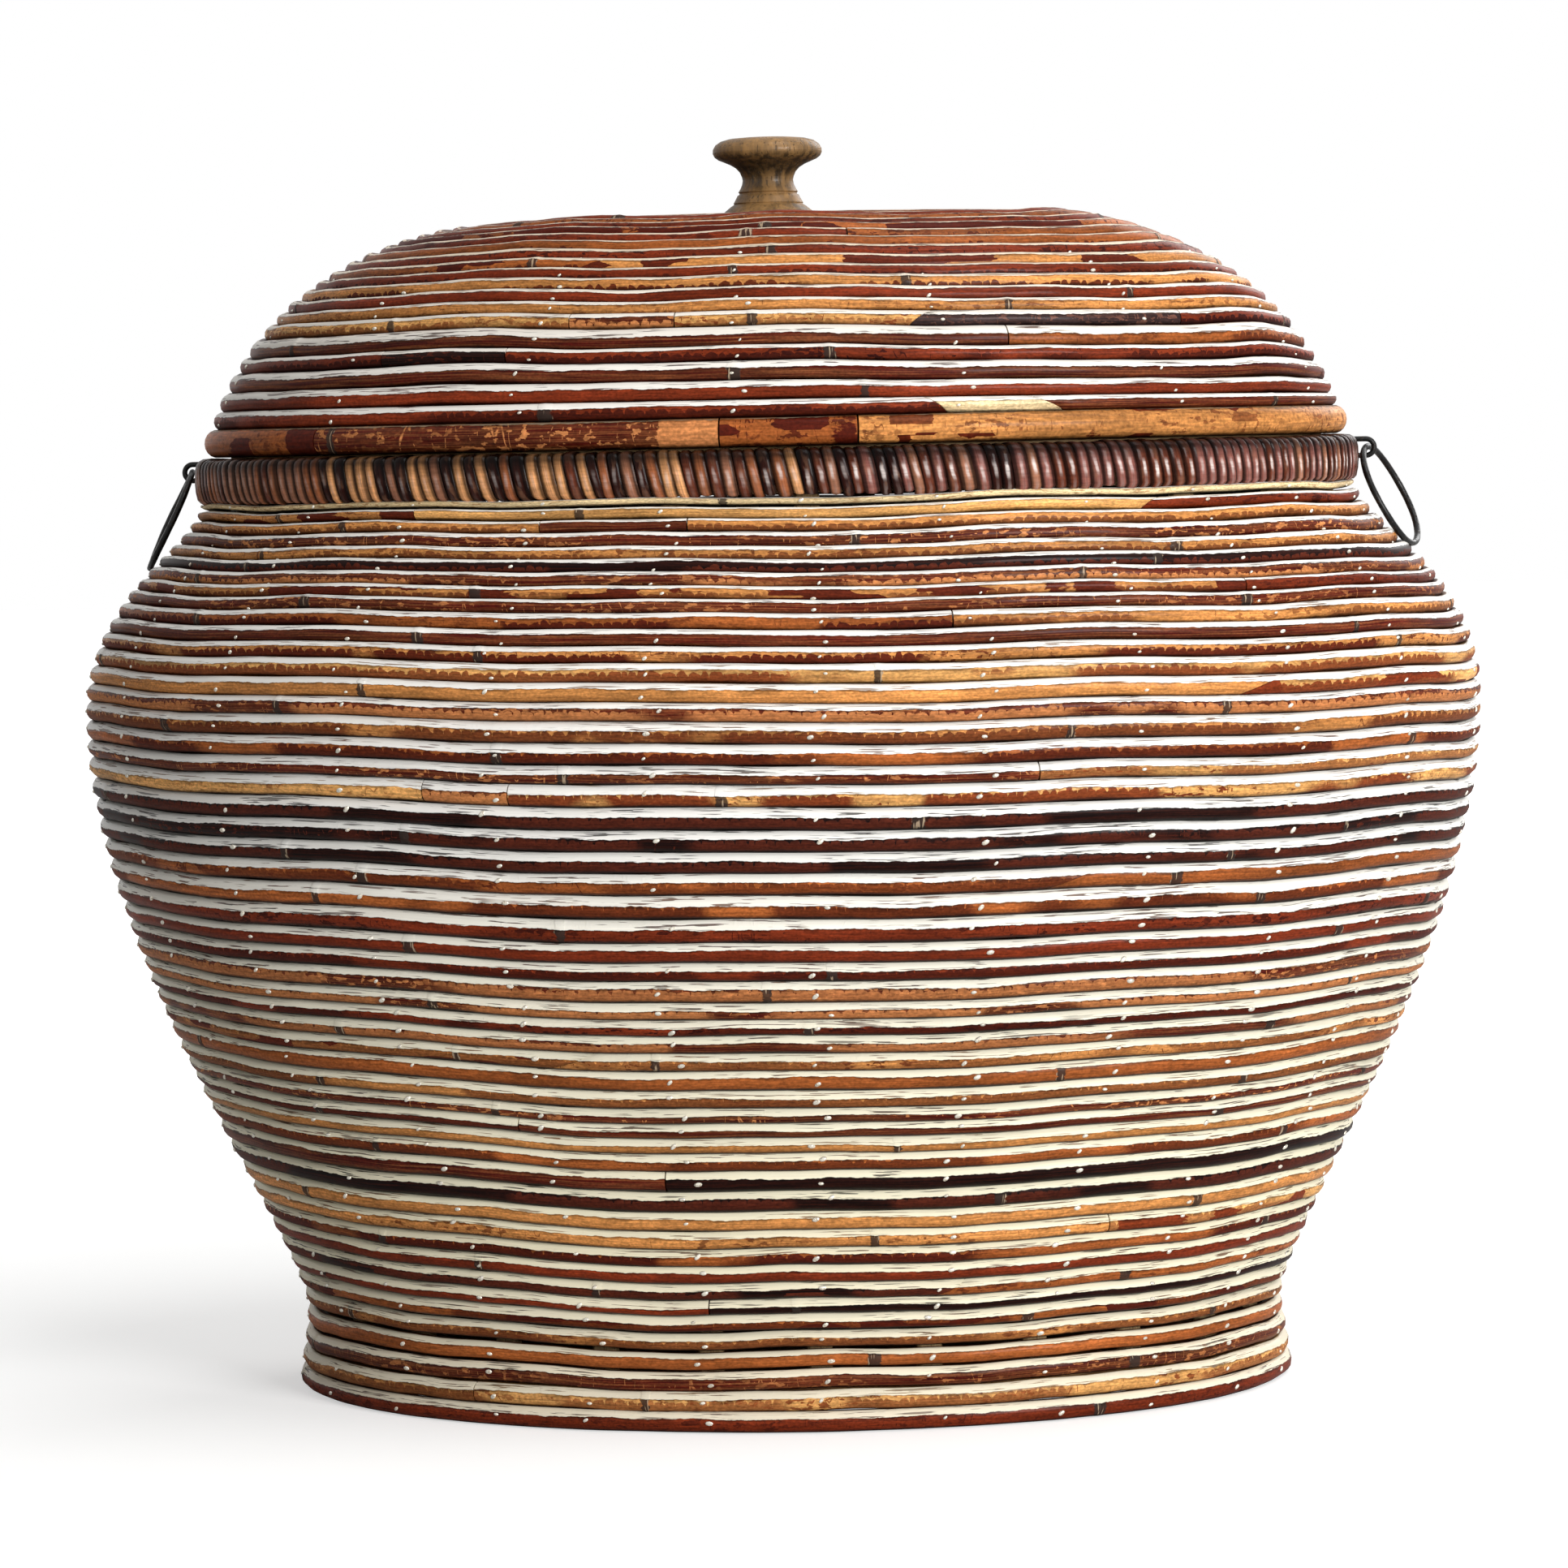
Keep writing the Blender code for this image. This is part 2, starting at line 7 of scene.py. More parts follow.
import logging
import math
from collections.abc import Sequence
from dataclasses import dataclass, field, replace
from enum import Enum

import bpy
import numpy as np
from mathutils import Matrix, Vector
from mathutils.geometry import interpolate_bezier


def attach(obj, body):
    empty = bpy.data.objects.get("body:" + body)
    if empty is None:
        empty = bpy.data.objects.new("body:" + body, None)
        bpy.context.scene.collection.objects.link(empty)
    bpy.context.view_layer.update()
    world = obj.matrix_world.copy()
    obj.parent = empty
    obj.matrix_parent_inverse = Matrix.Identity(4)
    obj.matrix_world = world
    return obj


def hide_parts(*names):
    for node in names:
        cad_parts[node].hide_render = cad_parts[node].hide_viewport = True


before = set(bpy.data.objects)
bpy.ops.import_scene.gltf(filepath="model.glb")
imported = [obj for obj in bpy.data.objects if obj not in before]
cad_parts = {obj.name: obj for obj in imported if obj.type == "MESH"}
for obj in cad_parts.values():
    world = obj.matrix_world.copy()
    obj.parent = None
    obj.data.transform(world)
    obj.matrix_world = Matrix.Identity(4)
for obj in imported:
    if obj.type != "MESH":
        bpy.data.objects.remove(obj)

Color = tuple[float, float, float]
Ovals = tuple[np.ndarray, ...]  # half lengths, half depths, heights and how far the wall looks up, in radians

LOG = logging.getLogger("lidded_basket")
OVAL_RATIO = 0.70  # an oval's depth as a share of its length
OVAL_STEPS = 720  # in which the distance round an oval is measured
FRONT = 1.5 * math.pi
MILLIMETRE = 0.001
SEED_SPREAD = 61.0  # how far apart the noise of two pieces lies
SOFT_EDGE = math.radians(40)  # from which an edge of a strip or hoop is sharp
STRAW = "split_cane"  # the slot of ribs, hoop and collar


def srgb(red: int, green: int, blue: int) -> Color:
    """A color as it looks on a screen, in linear light.

    Args:
        red, green, blue: The three parts, from 0 to 255.

    Returns:
        The color for a shader's socket.
    """
    parts = [part / 255 for part in (red, green, blue)]
    return tuple(part / 12.92 if part <= 0.04045 else ((part + 0.055) / 1.055) ** 2.4 for part in parts)


def unit(vectors: np.ndarray) -> np.ndarray:
    """Vectors brought to a length of one."""
    return vectors / np.linalg.norm(vectors, axis=-1, keepdims=True)


def laid(sizes: Sequence[float] | np.ndarray) -> np.ndarray:
    """Where parts laid end to end begin, and where the last one ends."""
    return np.concatenate([[0.0], np.cumsum(sizes)])


def distances(points: np.ndarray) -> np.ndarray:
    """How far along a line of points each of them lies."""
    return laid(np.linalg.norm(np.diff(points, axis=0), axis=1))


def run_map(along: np.ndarray, across: np.ndarray) -> np.ndarray:
    """A map from the distances along a tube and the places round it."""
    return np.stack(np.broadcast_arrays(along[:, None], across[None, :]), axis=-1)


def shown(name: str, data: bpy.types.ID) -> bpy.types.Object:
    """A new object in the scene.

    Args:
        name: Its name.
        data: Its mesh, lamp or camera.

    Returns:
        The object.
    """
    thing = bpy.data.objects.new(name, data)
    bpy.context.scene.collection.objects.link(thing)
    return thing


class Stain(Enum):
    """The stains of the canes: a letter, the color, and that of the bark which is left on it in spots."""

    BLACK = ("K", srgb(18, 5, 4), srgb(84, 34, 20))
    OXBLOOD = ("D", srgb(72, 17, 9), srgb(190, 122, 72))
    MAHOGANY = ("M", srgb(116, 44, 20), srgb(48, 11, 6))
    CHESTNUT = ("R", srgb(158, 87, 41), srgb(74, 22, 10))
    TAN = ("T", srgb(196, 132, 72), srgb(88, 31, 14))
    GOLDEN = ("G", srgb(218, 162, 95), srgb(116, 47, 20))
    CREAM = ("C", srgb(236, 212, 164), srgb(150, 104, 62))
    SLATE = ("S", srgb(48, 34, 34), srgb(104, 68, 56))

    @property
    def ground(self) -> Color:
        """The color of the varnished cane."""
        return self.value[1]

    @property
    def bark(self) -> Color:
        """The color of the spots of bark."""
        return self.value[2]


STAIN_LETTERS = {stain.value[0]: stain for stain in Stain}


class Signal:
    """An output of a shader node. Its sums and products are Math nodes."""

    def __init__(self, nodes: "Nodes", socket: bpy.types.NodeSocket) -> None:
        """Stand for that output."""
        self.nodes, self.socket = nodes, socket

    def __add__(self, other: "Value") -> "Signal":
        """The sum of two values."""
        return self.nodes.math("ADD", self, other)

    def __sub__(self, other: "Value") -> "Signal":
        """What the other one leaves of this value."""
        return self.nodes.math("SUBTRACT", self, other)

    def __rsub__(self, other: float) -> "Signal":
        """What this value leaves of a number."""
        return self.nodes.math("SUBTRACT", other, self)

    def __mul__(self, other: "Value") -> "Signal":
        """The product of two values."""
        return self.nodes.math("MULTIPLY", self, other)

    def __truediv__(self, other: "Value") -> "Signal":
        """This value as a share of the other one."""
        return self.nodes.math("DIVIDE", self, other)

    def __abs__(self) -> "Signal":
        """The value without its sign."""
        return self.nodes.math("ABSOLUTE", self)


Value = float | Sequence[float] | Signal


class Nodes:
    """A node tree, with short calls for the nodes that the finishes and the world use."""

    def __init__(self, tree: bpy.types.NodeTree) -> None:
        """Work in that tree."""
        self.tree = tree

    def feed(self, node: bpy.types.Node, key: int | str, value: Value) -> None:
        """Set or link one input of a node.

        Args:
            node: The node.
            key: The input's name or number.
            value: A number, a vector, a color or another node's output.
        """
        socket = node.inputs[key]
        if isinstance(value, Signal):
            self.tree.links.new(value.socket, socket)
        elif socket.type == "RGBA" and len(value) == 3:
            socket.default_value = (*value, 1.0)
        else:
            socket.default_value = value

    def add(self, kind: str, inputs: dict[int | str, Value], **settings: str | int | bool) -> bpy.types.Node:
        """Add a node.

        Args:
            kind: Its type, without the leading ShaderNode.
            inputs: What its inputs are set or linked to.
            settings: Its other properties.

        Returns:
            The node.
        """
        made = self.tree.nodes.new(f"ShaderNode{kind}")
        for key, value in settings.items():
            setattr(made, key, value)
        for key, value in inputs.items():
            self.feed(made, key, value)
        return made

    def read(self, node: bpy.types.Node, key: int | str = 0) -> Signal:
        """One output of a node."""
        return Signal(self, node.outputs[key])

    def math(self, operation: str, first: Value, second: Value = 0.0) -> Signal:
        """The result of a Math node."""
        return self.read(self.add("Math", {0: first, 1: second}, operation=operation))

    def larger(self, first: Value, second: Value) -> Signal:
        """The larger of two values."""
        return self.math("MAXIMUM", first, second)

    def split(self, vector: Signal) -> tuple[Signal, Signal, Signal]:
        """The three parts of a vector."""
        node = self.add("SeparateXYZ", {0: vector})
        return tuple(self.read(node, part) for part in range(3))

    def join(self, x: Value, y: Value, z: Value = 0.0) -> Signal:
        """A vector from three parts."""
        return self.read(self.add("CombineXYZ", {0: x, 1: y, 2: z}))

    def smooth(self, value: Value, low: Value, high: Value) -> Signal:
        """A soft step from 0 at the low value to 1 at the high one."""
        inputs = {"Value": value, "From Min": low, "From Max": high}
        return self.read(self.add("MapRange", inputs, interpolation_type="SMOOTHSTEP"))

    def scaled(self, value: Value, low: float, high: float, to_low: float, to_high: float) -> Signal:
        """A value carried from one range to another and kept inside it."""
        inputs = {"Value": value, "From Min": low, "From Max": high, "To Min": to_low, "To Max": to_high}
        return self.read(self.add("MapRange", inputs, clamp=True))

    def blend(self, share: Value, first: Value, second: Value) -> Signal:
        """Two colors mixed, with the share of the second one."""
        return self.read(self.add("Mix", {0: share, 6: first, 7: second}, data_type="RGBA"), 2)

    def shade(self, color: Value, gain: Value) -> Signal:
        """A color made darker or lighter by a gain."""
        return self.read(self.add("VectorMath", {0: color, "Scale": gain}, operation="SCALE"))

    def noise(self, where: Signal, scale: float = 1.0, detail: float = 2.0, rough: float = 0.5) -> Signal:
        """Soft noise, with one half as its middle."""
        inputs = {"Vector": where, "Scale": scale, "Detail": detail, "Roughness": rough}
        return self.read(self.add("TexNoise", inputs))


class Paint(Nodes):
    """The nodes of a finish."""

    def __init__(self, name: str) -> None:
        """Start a material with a Principled shader.

        Args:
            name: The material's name.
        """
        self.material = bpy.data.materials.new(name)
        self.material.use_nodes = True
        super().__init__(self.material.node_tree)
        self.shader = self.tree.nodes["Principled BSDF"]

    def attribute(self, name: str) -> tuple[Signal, Signal]:
        """One of the mesh's own tints, as its color and its alpha."""
        node = self.add("Attribute", {}, attribute_name=name)
        return self.read(node, "Color"), self.read(node, "Alpha")

    def run(self) -> tuple[Signal, Signal]:
        """The distance along a piece, and the place round or across it."""
        along, across, _ = self.split(self.read(self.add("UVMap", {}, uv_map="run")))
        return along, across

    def place(self) -> Signal:
        """The place on the object itself, in metres."""
        return self.read(self.add("TexCoord", {}), "Object")

    def stretched(self, *gains: float) -> Signal:
        """The place on the object with each of its three parts multiplied."""
        return self.join(*(part * gain for part, gain in zip(self.split(self.place()), gains)))

    def finish(
        self, color: Value, roughness: Value, height: Signal, relief: float, **constants: float
    ) -> bpy.types.Material:
        """Wire the shader.

        Args:
            color: The base color.
            roughness: How rough it is.
            height: The height that the bump follows, from 0 to 1.
            relief: What that height measures, in metres.
            constants: Other inputs by name, with underscores for spaces, that are the same all over.

        Returns:
            The finished material.
        """
        self.feed(self.shader, "Base Color", color)
        self.feed(self.shader, "Roughness", roughness)
        bump = self.add("Bump", {"Height": height, "Distance": relief, "Strength": 1.0})
        self.feed(self.shader, "Normal", self.read(bump))
        for key, value in constants.items():
            self.feed(self.shader, key.replace("_", " "), value)
        return self.material


@dataclass(frozen=True)
class Flecks:
    """Noise in flecks on a length of cane."""

    paint: Paint
    along: Signal
    across: Signal
    seed: Signal

    def grid(self, length: float, width: float, shift: float) -> Signal:
        """Places on the cane, counted in a length along it and a width round it."""
        return self.paint.join(self.along / length, self.across / width, self.seed + shift)

    def noise(self, length: float, width: float, shift: float, detail: float = 2.0) -> Signal:
        """Noise in flecks of a length along the cane and a width round it."""
        return self.paint.noise(self.grid(length, width, shift), detail=detail)


@dataclass(frozen=True)
class CaneFinish:
    """Whole round cane, stained and varnished, with spots of bark, a painted highlight along its upper side
    and painted shade in the furrows between canes.
    """

    girth: float = 0.0200
    tooth: float = 0.0036  # pitch of the toothed rows of bark
    knuckle: float = 0.0019  # half the width of a knuckle's dark collar
    spacing: float = 0.31  # between knuckles
    relief: float = 0.00014
    coat: float = 0.06
    specular: float = 0.05

    def make(self) -> bpy.types.Material:
        """Build the material.

        Returns:
            The material, which reads the tints named stain, bark, mottle, gloss and tint; gloss and tint
            place and color the painted highlight.
        """
        paint = Paint("varnished_cane")
        along, turn = paint.run()
        color, seed = paint.attribute("stain")
        bark, _ = paint.attribute("bark")
        amounts, knots = paint.attribute("mottle")
        # where the painted highlight lies, and its color with the wall's lean
        gloss, _ = paint.attribute("gloss")
        tint, lean = paint.attribute("tint")
        lean = lean - 0.5
        flecks = Flecks(paint, along, turn * self.girth, seed * SEED_SPREAD)
        fibre = flecks.noise(0.03, 0.0004, 1.0, 3.0)
        ragged = flecks.noise(0.0026, 0.0011, 3.0, 3.0)
        marks = self.bark_marks(flecks, ragged, amounts)
        collar, collar_color = self.collars(flecks, ragged, knots)
        # the painted highlight, and the painted shade line under it
        pale, under = self.painted_highlight_band(flecks, gloss)

        color = paint.shade(color, paint.scaled(flecks.noise(0.06, 0.012, 2.0), 0.28, 0.72, 0.56, 1.36))
        color = paint.blend(paint.scaled(fibre, 0.4, 0.8, 0.0, 0.4), color, bark)
        color = paint.blend(marks, color, bark)
        color = paint.shade(color, paint.scaled(flecks.noise(0.006, 0.0006, 9.0, 3.0), 0.3, 0.7, 0.68, 1.28))
        color = paint.shade(color, paint.scaled(flecks.noise(0.0011, 0.0007, 9.5, 1.0), 0.3, 0.7, 0.74, 1.22))
        color = paint.blend(collar * 0.9, color, collar_color)
        # painted shade and light on what shows from the side: dark in the furrow below, lighter up towards
        # the painted highlight of the varnish on top
        floor = paint.larger(lean - 0.215, -0.19)
        depth = (turn - floor) / 0.15 + (ragged - 0.5) * 0.35
        color = paint.shade(color, paint.scaled(paint.smooth(depth, 0.0, 0.52), 0.0, 1.0, 0.10, 0.94))
        color = paint.shade(color, paint.scaled(depth, 0.3, 1.1, 1.0, 1.16))
        # painted shade: a dark line under the painted highlight
        color = paint.shade(color, 1.0 - under * 0.72)
        # the painted highlight of the varnish on top
        color = paint.blend(pale, color, paint.shade(tint, paint.scaled(fibre, 0.3, 0.7, 0.93, 1.03)))
        # painted shade on the side that the next course hides
        hidden_side_shade = paint.smooth(turn - lean, 0.205, 0.235)
        color = paint.shade(color, 1.0 - hidden_side_shade * 0.8)

        roughness = paint.scaled(paint.larger(marks, collar), 0.0, 1.0, 0.36, 0.54)
        roughness = roughness - pale * 0.08 + fibre * 0.14
        height = marks * 0.45 + fibre * 0.4 + collar * 0.6
        constants = {"Coat_Weight": self.coat, "Coat_Roughness": 0.14, "Specular_IOR_Level": self.specular}
        return paint.finish(color, roughness, height, self.relief, **constants)

    def collars(self, flecks: Flecks, ragged: Signal, shift: Signal) -> tuple[Signal, Signal]:
        """The knuckles: a dark grey collar with pale chips.

        Args:
            flecks: Makes noise on the cane.
            ragged: Noise for ragged edges.
            shift: Where the knuckles fall, as a share of their spacing.

        Returns:
            The share of the collar, from 0 to 1, and its color.
        """
        paint = flecks.paint
        away = paint.math("PINGPONG", flecks.along / self.spacing + shift, 0.5) * self.spacing
        away = away + (ragged - 0.5) * 0.0024
        wide = paint.scaled(flecks.noise(0.04, 0.05, 17.0), 0.3, 0.7, 0.3, 1.15)
        collar = 1.0 - paint.smooth(away / wide, self.knuckle, self.knuckle + 0.0006)
        chips = paint.smooth(flecks.noise(0.0008, 0.006, 10.0, 1.0), 0.60, 0.66)
        return collar, paint.blend(chips, (0.030, 0.021, 0.017), (0.36, 0.27, 0.18))

    def bark_marks(self, flecks: Flecks, ragged: Signal, amounts: Signal) -> Signal:
        """Where bark is left: in spots and cracks, toothed rows, and patches with straight ends.

        Args:
            flecks: Makes noise on the cane.
            ragged: Noise for ragged edges.
            amounts: How much there is of each kind.

        Returns:
            The share of bark, from 0 to 1.
        """
        paint = flecks.paint
        spot_amount, tooth_amount, patch_amount = paint.split(amounts)
        spots = paint.smooth(flecks.noise(0.0036, 0.0016, 5.0, 3.0), 0.565, 0.6)
        spots = spots * paint.smooth(flecks.noise(0.05, 0.05, 4.0), 0.42, 0.55)
        cracks = abs(flecks.noise(0.0055, 0.02, 15.0, 1.0) - 0.5)
        cracks = 1.0 - paint.smooth(cracks, 0.004, 0.012)
        cracks = cracks * paint.smooth(flecks.noise(0.012, 0.0015, 16.0), 0.5, 0.58)
        spots = paint.larger(spots, cracks) * spot_amount

        jitter = flecks.noise(0.0045, 0.05, 6.5) * 1.6 + flecks.noise(0.02, 0.05, 6.0) * 2.4
        tooth = paint.math("PINGPONG", flecks.along / self.tooth + jitter, 0.5)
        tooth = paint.math("POWER", tooth * 2.0, 2.0)
        tooth = paint.math("SQRT", paint.larger(1.0 - tooth, 0.0))
        reach = paint.scaled(flecks.noise(0.009, 0.05, 6.8), 0.3, 0.7, 0.0008, 0.0024)
        edge = ragged * 0.0026 + (tooth * reach - 0.0024)
        teeth = 1.0 - paint.smooth(flecks.across - edge, -0.0001, 0.0002)
        teeth = teeth * paint.smooth(flecks.noise(0.08, 0.08, 7.0), 0.42, 0.46) * tooth_amount

        blocks = paint.join((ragged * 0.004 + flecks.along) / 0.016, flecks.across / 0.006)
        blocks = paint.add("VectorMath", {0: blocks, 1: flecks.grid(9.0, 9.0, 8.0)}, operation="ADD")
        inputs = {"Vector": paint.read(blocks), "Scale": 1.0, "Randomness": 0.8}
        cells = paint.add("TexVoronoi", inputs, distance="CHEBYCHEV")
        chance, _, _ = paint.split(paint.read(cells, "Color"))
        level = 1.0 - patch_amount * 0.40
        patches = paint.smooth(chance, level, level + 0.02)
        stretch = paint.smooth(ragged * 0.04 + flecks.noise(0.045, 0.09, 11.0), 0.62, 0.626)
        stretch = stretch * paint.smooth(patch_amount, 0.1, 0.3)
        return paint.larger(paint.larger(spots, teeth), paint.larger(patches, stretch))

    def painted_highlight_band(self, flecks: Flecks, reach: Signal) -> tuple[Signal, Signal]:
        """The painted highlight of the varnish along the upper side, with wavy edges and thin dark streaks.

        Args:
            flecks: Makes noise on the cane.
            reach: Where the band starts and ends, in turns, and how strong it is.

        Returns:
            The share of the painted highlight, and of the painted shade line under it, from 0 to 1.
        """
        paint = flecks.paint
        start, end, strength = paint.split(reach)
        wave = flecks.noise(0.0030, 0.05, 12.0, 3.0) * 0.0010 + flecks.noise(0.03, 0.05, 11.5) * 0.0018
        over = flecks.across - (start * self.girth + wave - 0.0009)
        rise = paint.smooth(over, -0.00010, 0.00012)
        line = paint.scaled(flecks.noise(0.011, 0.05, 18.0), 0.4, 0.62, -0.0002, -0.0013)
        fall = 1.0 - paint.smooth(flecks.across - end * self.girth, -0.0002, 0.0003)
        streaks = paint.smooth(flecks.noise(0.014, 0.00055, 13.0), 0.60, 0.62)
        streaks = streaks * paint.smooth(flecks.noise(0.05, 0.08, 13.5), 0.42, 0.50)
        breaks = paint.smooth(flecks.noise(0.03, 0.0016, 14.0, 3.0), 0.66, 0.70)
        holes = paint.larger(streaks * 0.85, breaks * 0.7)
        return rise * fall * (1.0 - holes) * strength, paint.smooth(over, line, 0.0001)


@dataclass(frozen=True)
class BindingFinish:
    """Flat binding cane, varnished, each wrap with its own stain, with painted reflections on its outer face
    and painted shade along both edges and under the lid.
    """

    coat: float = 0.08
    specular: float = 0.03
    relief: float = 0.00014
    worn_color: Color = srgb(132, 92, 70)
    # the colors of the painted grey reflection and of the painted highlight
    painted_grey_reflection_color: Color = srgb(148, 130, 124)
    painted_highlight_color: Color = srgb(226, 214, 208)

    def make(self) -> bpy.types.Material:
        """Build the material.

        Returns:
            The material, which reads the tints named stain and shine.
        """
        paint = Paint("binding_cane")
        along, across = paint.run()
        color, seed = paint.attribute("stain")
        # how strong the painted highlight is and how high it sits on the wrap
        shine, painted_highlight_at, _ = paint.split(paint.attribute("shine")[0])
        streaks = Flecks(paint, along, across, seed * SEED_SPREAD)
        grain = streaks.noise(0.02, 0.0004, 1.0, 3.0)
        worn = paint.smooth(streaks.noise(0.006, 0.0022, 2.0), 0.54, 0.64)
        cross = streaks.noise(0.0009, 0.006, 3.0)
        color = paint.shade(color, paint.scaled(grain, 0.25, 0.75, 0.68, 1.4))
        color = paint.blend(worn * 0.35, color, self.worn_color)
        color = paint.shade(color, paint.scaled(cross, 0.3, 0.7, 0.8, 1.2))
        # painted reflections of the varnish: a pale highlight on the upper half, and a grey reflection below
        # it
        lean = (streaks.noise(0.004, 0.004, 5.0) - 0.5) * 0.0012 + across
        middle = 1.0 - paint.smooth(abs(lean), 0.0002, 0.0008)
        spot = 1.0 - paint.smooth(abs(along - painted_highlight_at), 0.0008, 0.0034)
        spot = spot * middle * paint.scaled(cross, 0.3, 0.6, 0.5, 1.0)
        painted_grey_reflection = (1.0 - paint.smooth(along, 0.002, 0.007)) * middle
        painted_grey_reflection = painted_grey_reflection * paint.scaled(worn, 0.0, 1.0, 0.6, 0.3)
        color = paint.blend(painted_grey_reflection * shine, color, self.painted_grey_reflection_color)
        color = paint.blend(spot * shine, color, self.painted_highlight_color)
        # painted shade along both edges of each wrap, where it meets the next
        color = paint.shade(color, 1.0 - paint.smooth(abs(across), 0.0006, 0.0017) * 0.85)
        # painted shadow of the lid over the top and the inner side
        color = paint.shade(color, paint.scaled(along, 0.0098, 0.0145, 1.0, 0.16))
        roughness = paint.scaled(grain + worn, 0.3, 1.5, 0.24, 0.46)
        constants = {"Coat_Weight": self.coat, "Coat_Roughness": 0.14, "Specular_IOR_Level": self.specular}
        return paint.finish(color, roughness, grain * 0.6 + cross * 0.3, self.relief, **constants)


@dataclass(frozen=True)
class SplitCaneFinish:
    """Raw split cane: straw yellow, matt, with long fibres and grey pores."""

    color: Color = srgb(190, 158, 112)
    dark: Color = srgb(132, 98, 62)
    pore: Color = srgb(92, 66, 44)
    relief: float = 0.0002

    def make(self) -> bpy.types.Material:
        """Build the material.

        Returns:
            The material.
        """
        paint = Paint("split_cane")
        along, across = paint.run()
        fibre = paint.noise(paint.join(along / 0.05, across / 0.0006), detail=4.0, rough=0.6)
        broad = paint.noise(paint.place(), 24.0, 3.0)
        pores = paint.smooth(paint.noise(paint.join(along / 0.006, across / 0.0004)), 0.62, 0.7)
        color = paint.blend(paint.scaled(fibre, 0.35, 0.7, 0.0, 0.8), self.color, self.dark)
        color = paint.shade(color, paint.scaled(broad, 0.3, 0.7, 0.8, 1.12))
        color = paint.blend(pores * 0.6, color, self.pore)
        return paint.finish(color, paint.scaled(fibre, 0.2, 0.8, 0.55, 0.78), fibre - pores, self.relief)


@dataclass(frozen=True)
class BoardFinish:
    """A raw sawn board: long grain with rings, saw marks across it and scuffs."""

    name: str
    grain: float = 0.007  # distance between the grain's lines
    relief: float = 0.00025
    light: Color = srgb(176, 134, 88)
    dark: Color = srgb(128, 86, 50)
    scuff: Color = srgb(84, 58, 38)

    def make(self) -> bpy.types.Material:
        """Build the material.

        Returns:
            The material.
        """
        paint = Paint(self.name)
        _, y, _ = paint.split(paint.place())
        bend = paint.noise(paint.stretched(5.0, 16.0, 1.0), detail=3.0)
        rings = paint.math("PINGPONG", bend * 5.0 + y / self.grain, 1.0)
        fibre = paint.noise(paint.stretched(30.0, 1400.0, 1.0), detail=3.0)
        saw = paint.noise(paint.stretched(700.0, 12.0, 1.0))
        color = paint.blend(paint.smooth(rings, 0.3, 0.95), self.light, self.dark)
        color = paint.shade(color, paint.scaled(fibre, 0.3, 0.7, 0.82, 1.12))
        scuffs = paint.smooth(paint.noise(paint.place(), 60.0, 4.0), 0.6, 0.72)
        color = paint.blend(scuffs * 0.5, color, self.scuff)
        return paint.finish(color, paint.scaled(fibre, 0.2, 0.8, 0.6, 0.82), saw * 0.7 + fibre, self.relief)


@dataclass(frozen=True)
class TurnedWoodFinish:
    """A worn turned hardwood: olive brown, tan where hands wear it and as a painted highlight on the top
    disc's edge, with painted shade in the neck under the disc and fine tool lines.
    """

    height: float  # of the piece's foot over the floor
    tall: float
    relief: float = 0.00016
    light: Color = srgb(118, 88, 50)
    dark: Color = srgb(54, 40, 22)
    # the tan of wear and of the painted highlight
    rubbed_and_lit: Color = srgb(172, 130, 80)
    pore: Color = srgb(48, 38, 24)

    def make(self) -> bpy.types.Material:
        """Build the material.

        Returns:
            The material.
        """
        paint = Paint("turned_wood")
        _, _, z = paint.split(paint.place())
        level = (z - self.height) / self.tall
        grain = paint.noise(paint.stretched(420.0, 420.0, 34.0), 1.0, 4.0, 0.6)
        pores = paint.smooth(paint.noise(paint.stretched(1500.0, 1500.0, 160.0)), 0.6, 0.68)
        tool = paint.noise(paint.join(0.0, 0.0, z * 2600.0), detail=1.0)
        cloud = paint.noise(paint.place(), 90.0, 3.0)
        color = paint.blend(paint.smooth(grain, 0.38, 0.62), self.dark, self.light)
        # lighter on the top disc's edge and low down: wear, and a painted highlight on the disc's edge
        wear_and_highlight = paint.larger(paint.smooth(level, 0.74, 0.84), paint.smooth(level, 0.45, 0.3) * 0.8)
        wear_and_highlight = wear_and_highlight * paint.scaled(cloud, 0.35, 0.65, 0.2, 1.0)
        color = paint.blend(wear_and_highlight * 0.5, color, self.rubbed_and_lit)
        # painted shade in the neck under the top disc
        painted_neck_shade = paint.smooth(level, 0.5, 0.62) * paint.smooth(level, 0.76, 0.66)
        color = paint.shade(color, 1.0 - painted_neck_shade * 0.5)
        color = paint.blend(pores * 0.6, color, self.pore)
        color = paint.shade(color, paint.scaled(cloud, 0.3, 0.7, 0.84, 1.14))
        height = tool * 0.5 + (grain - pores)
        roughness = paint.scaled(grain, 0.2, 0.8, 0.42, 0.64)
        return paint.finish(color, roughness, height, self.relief, Coat_Weight=0.08, Specular_IOR_Level=0.3)


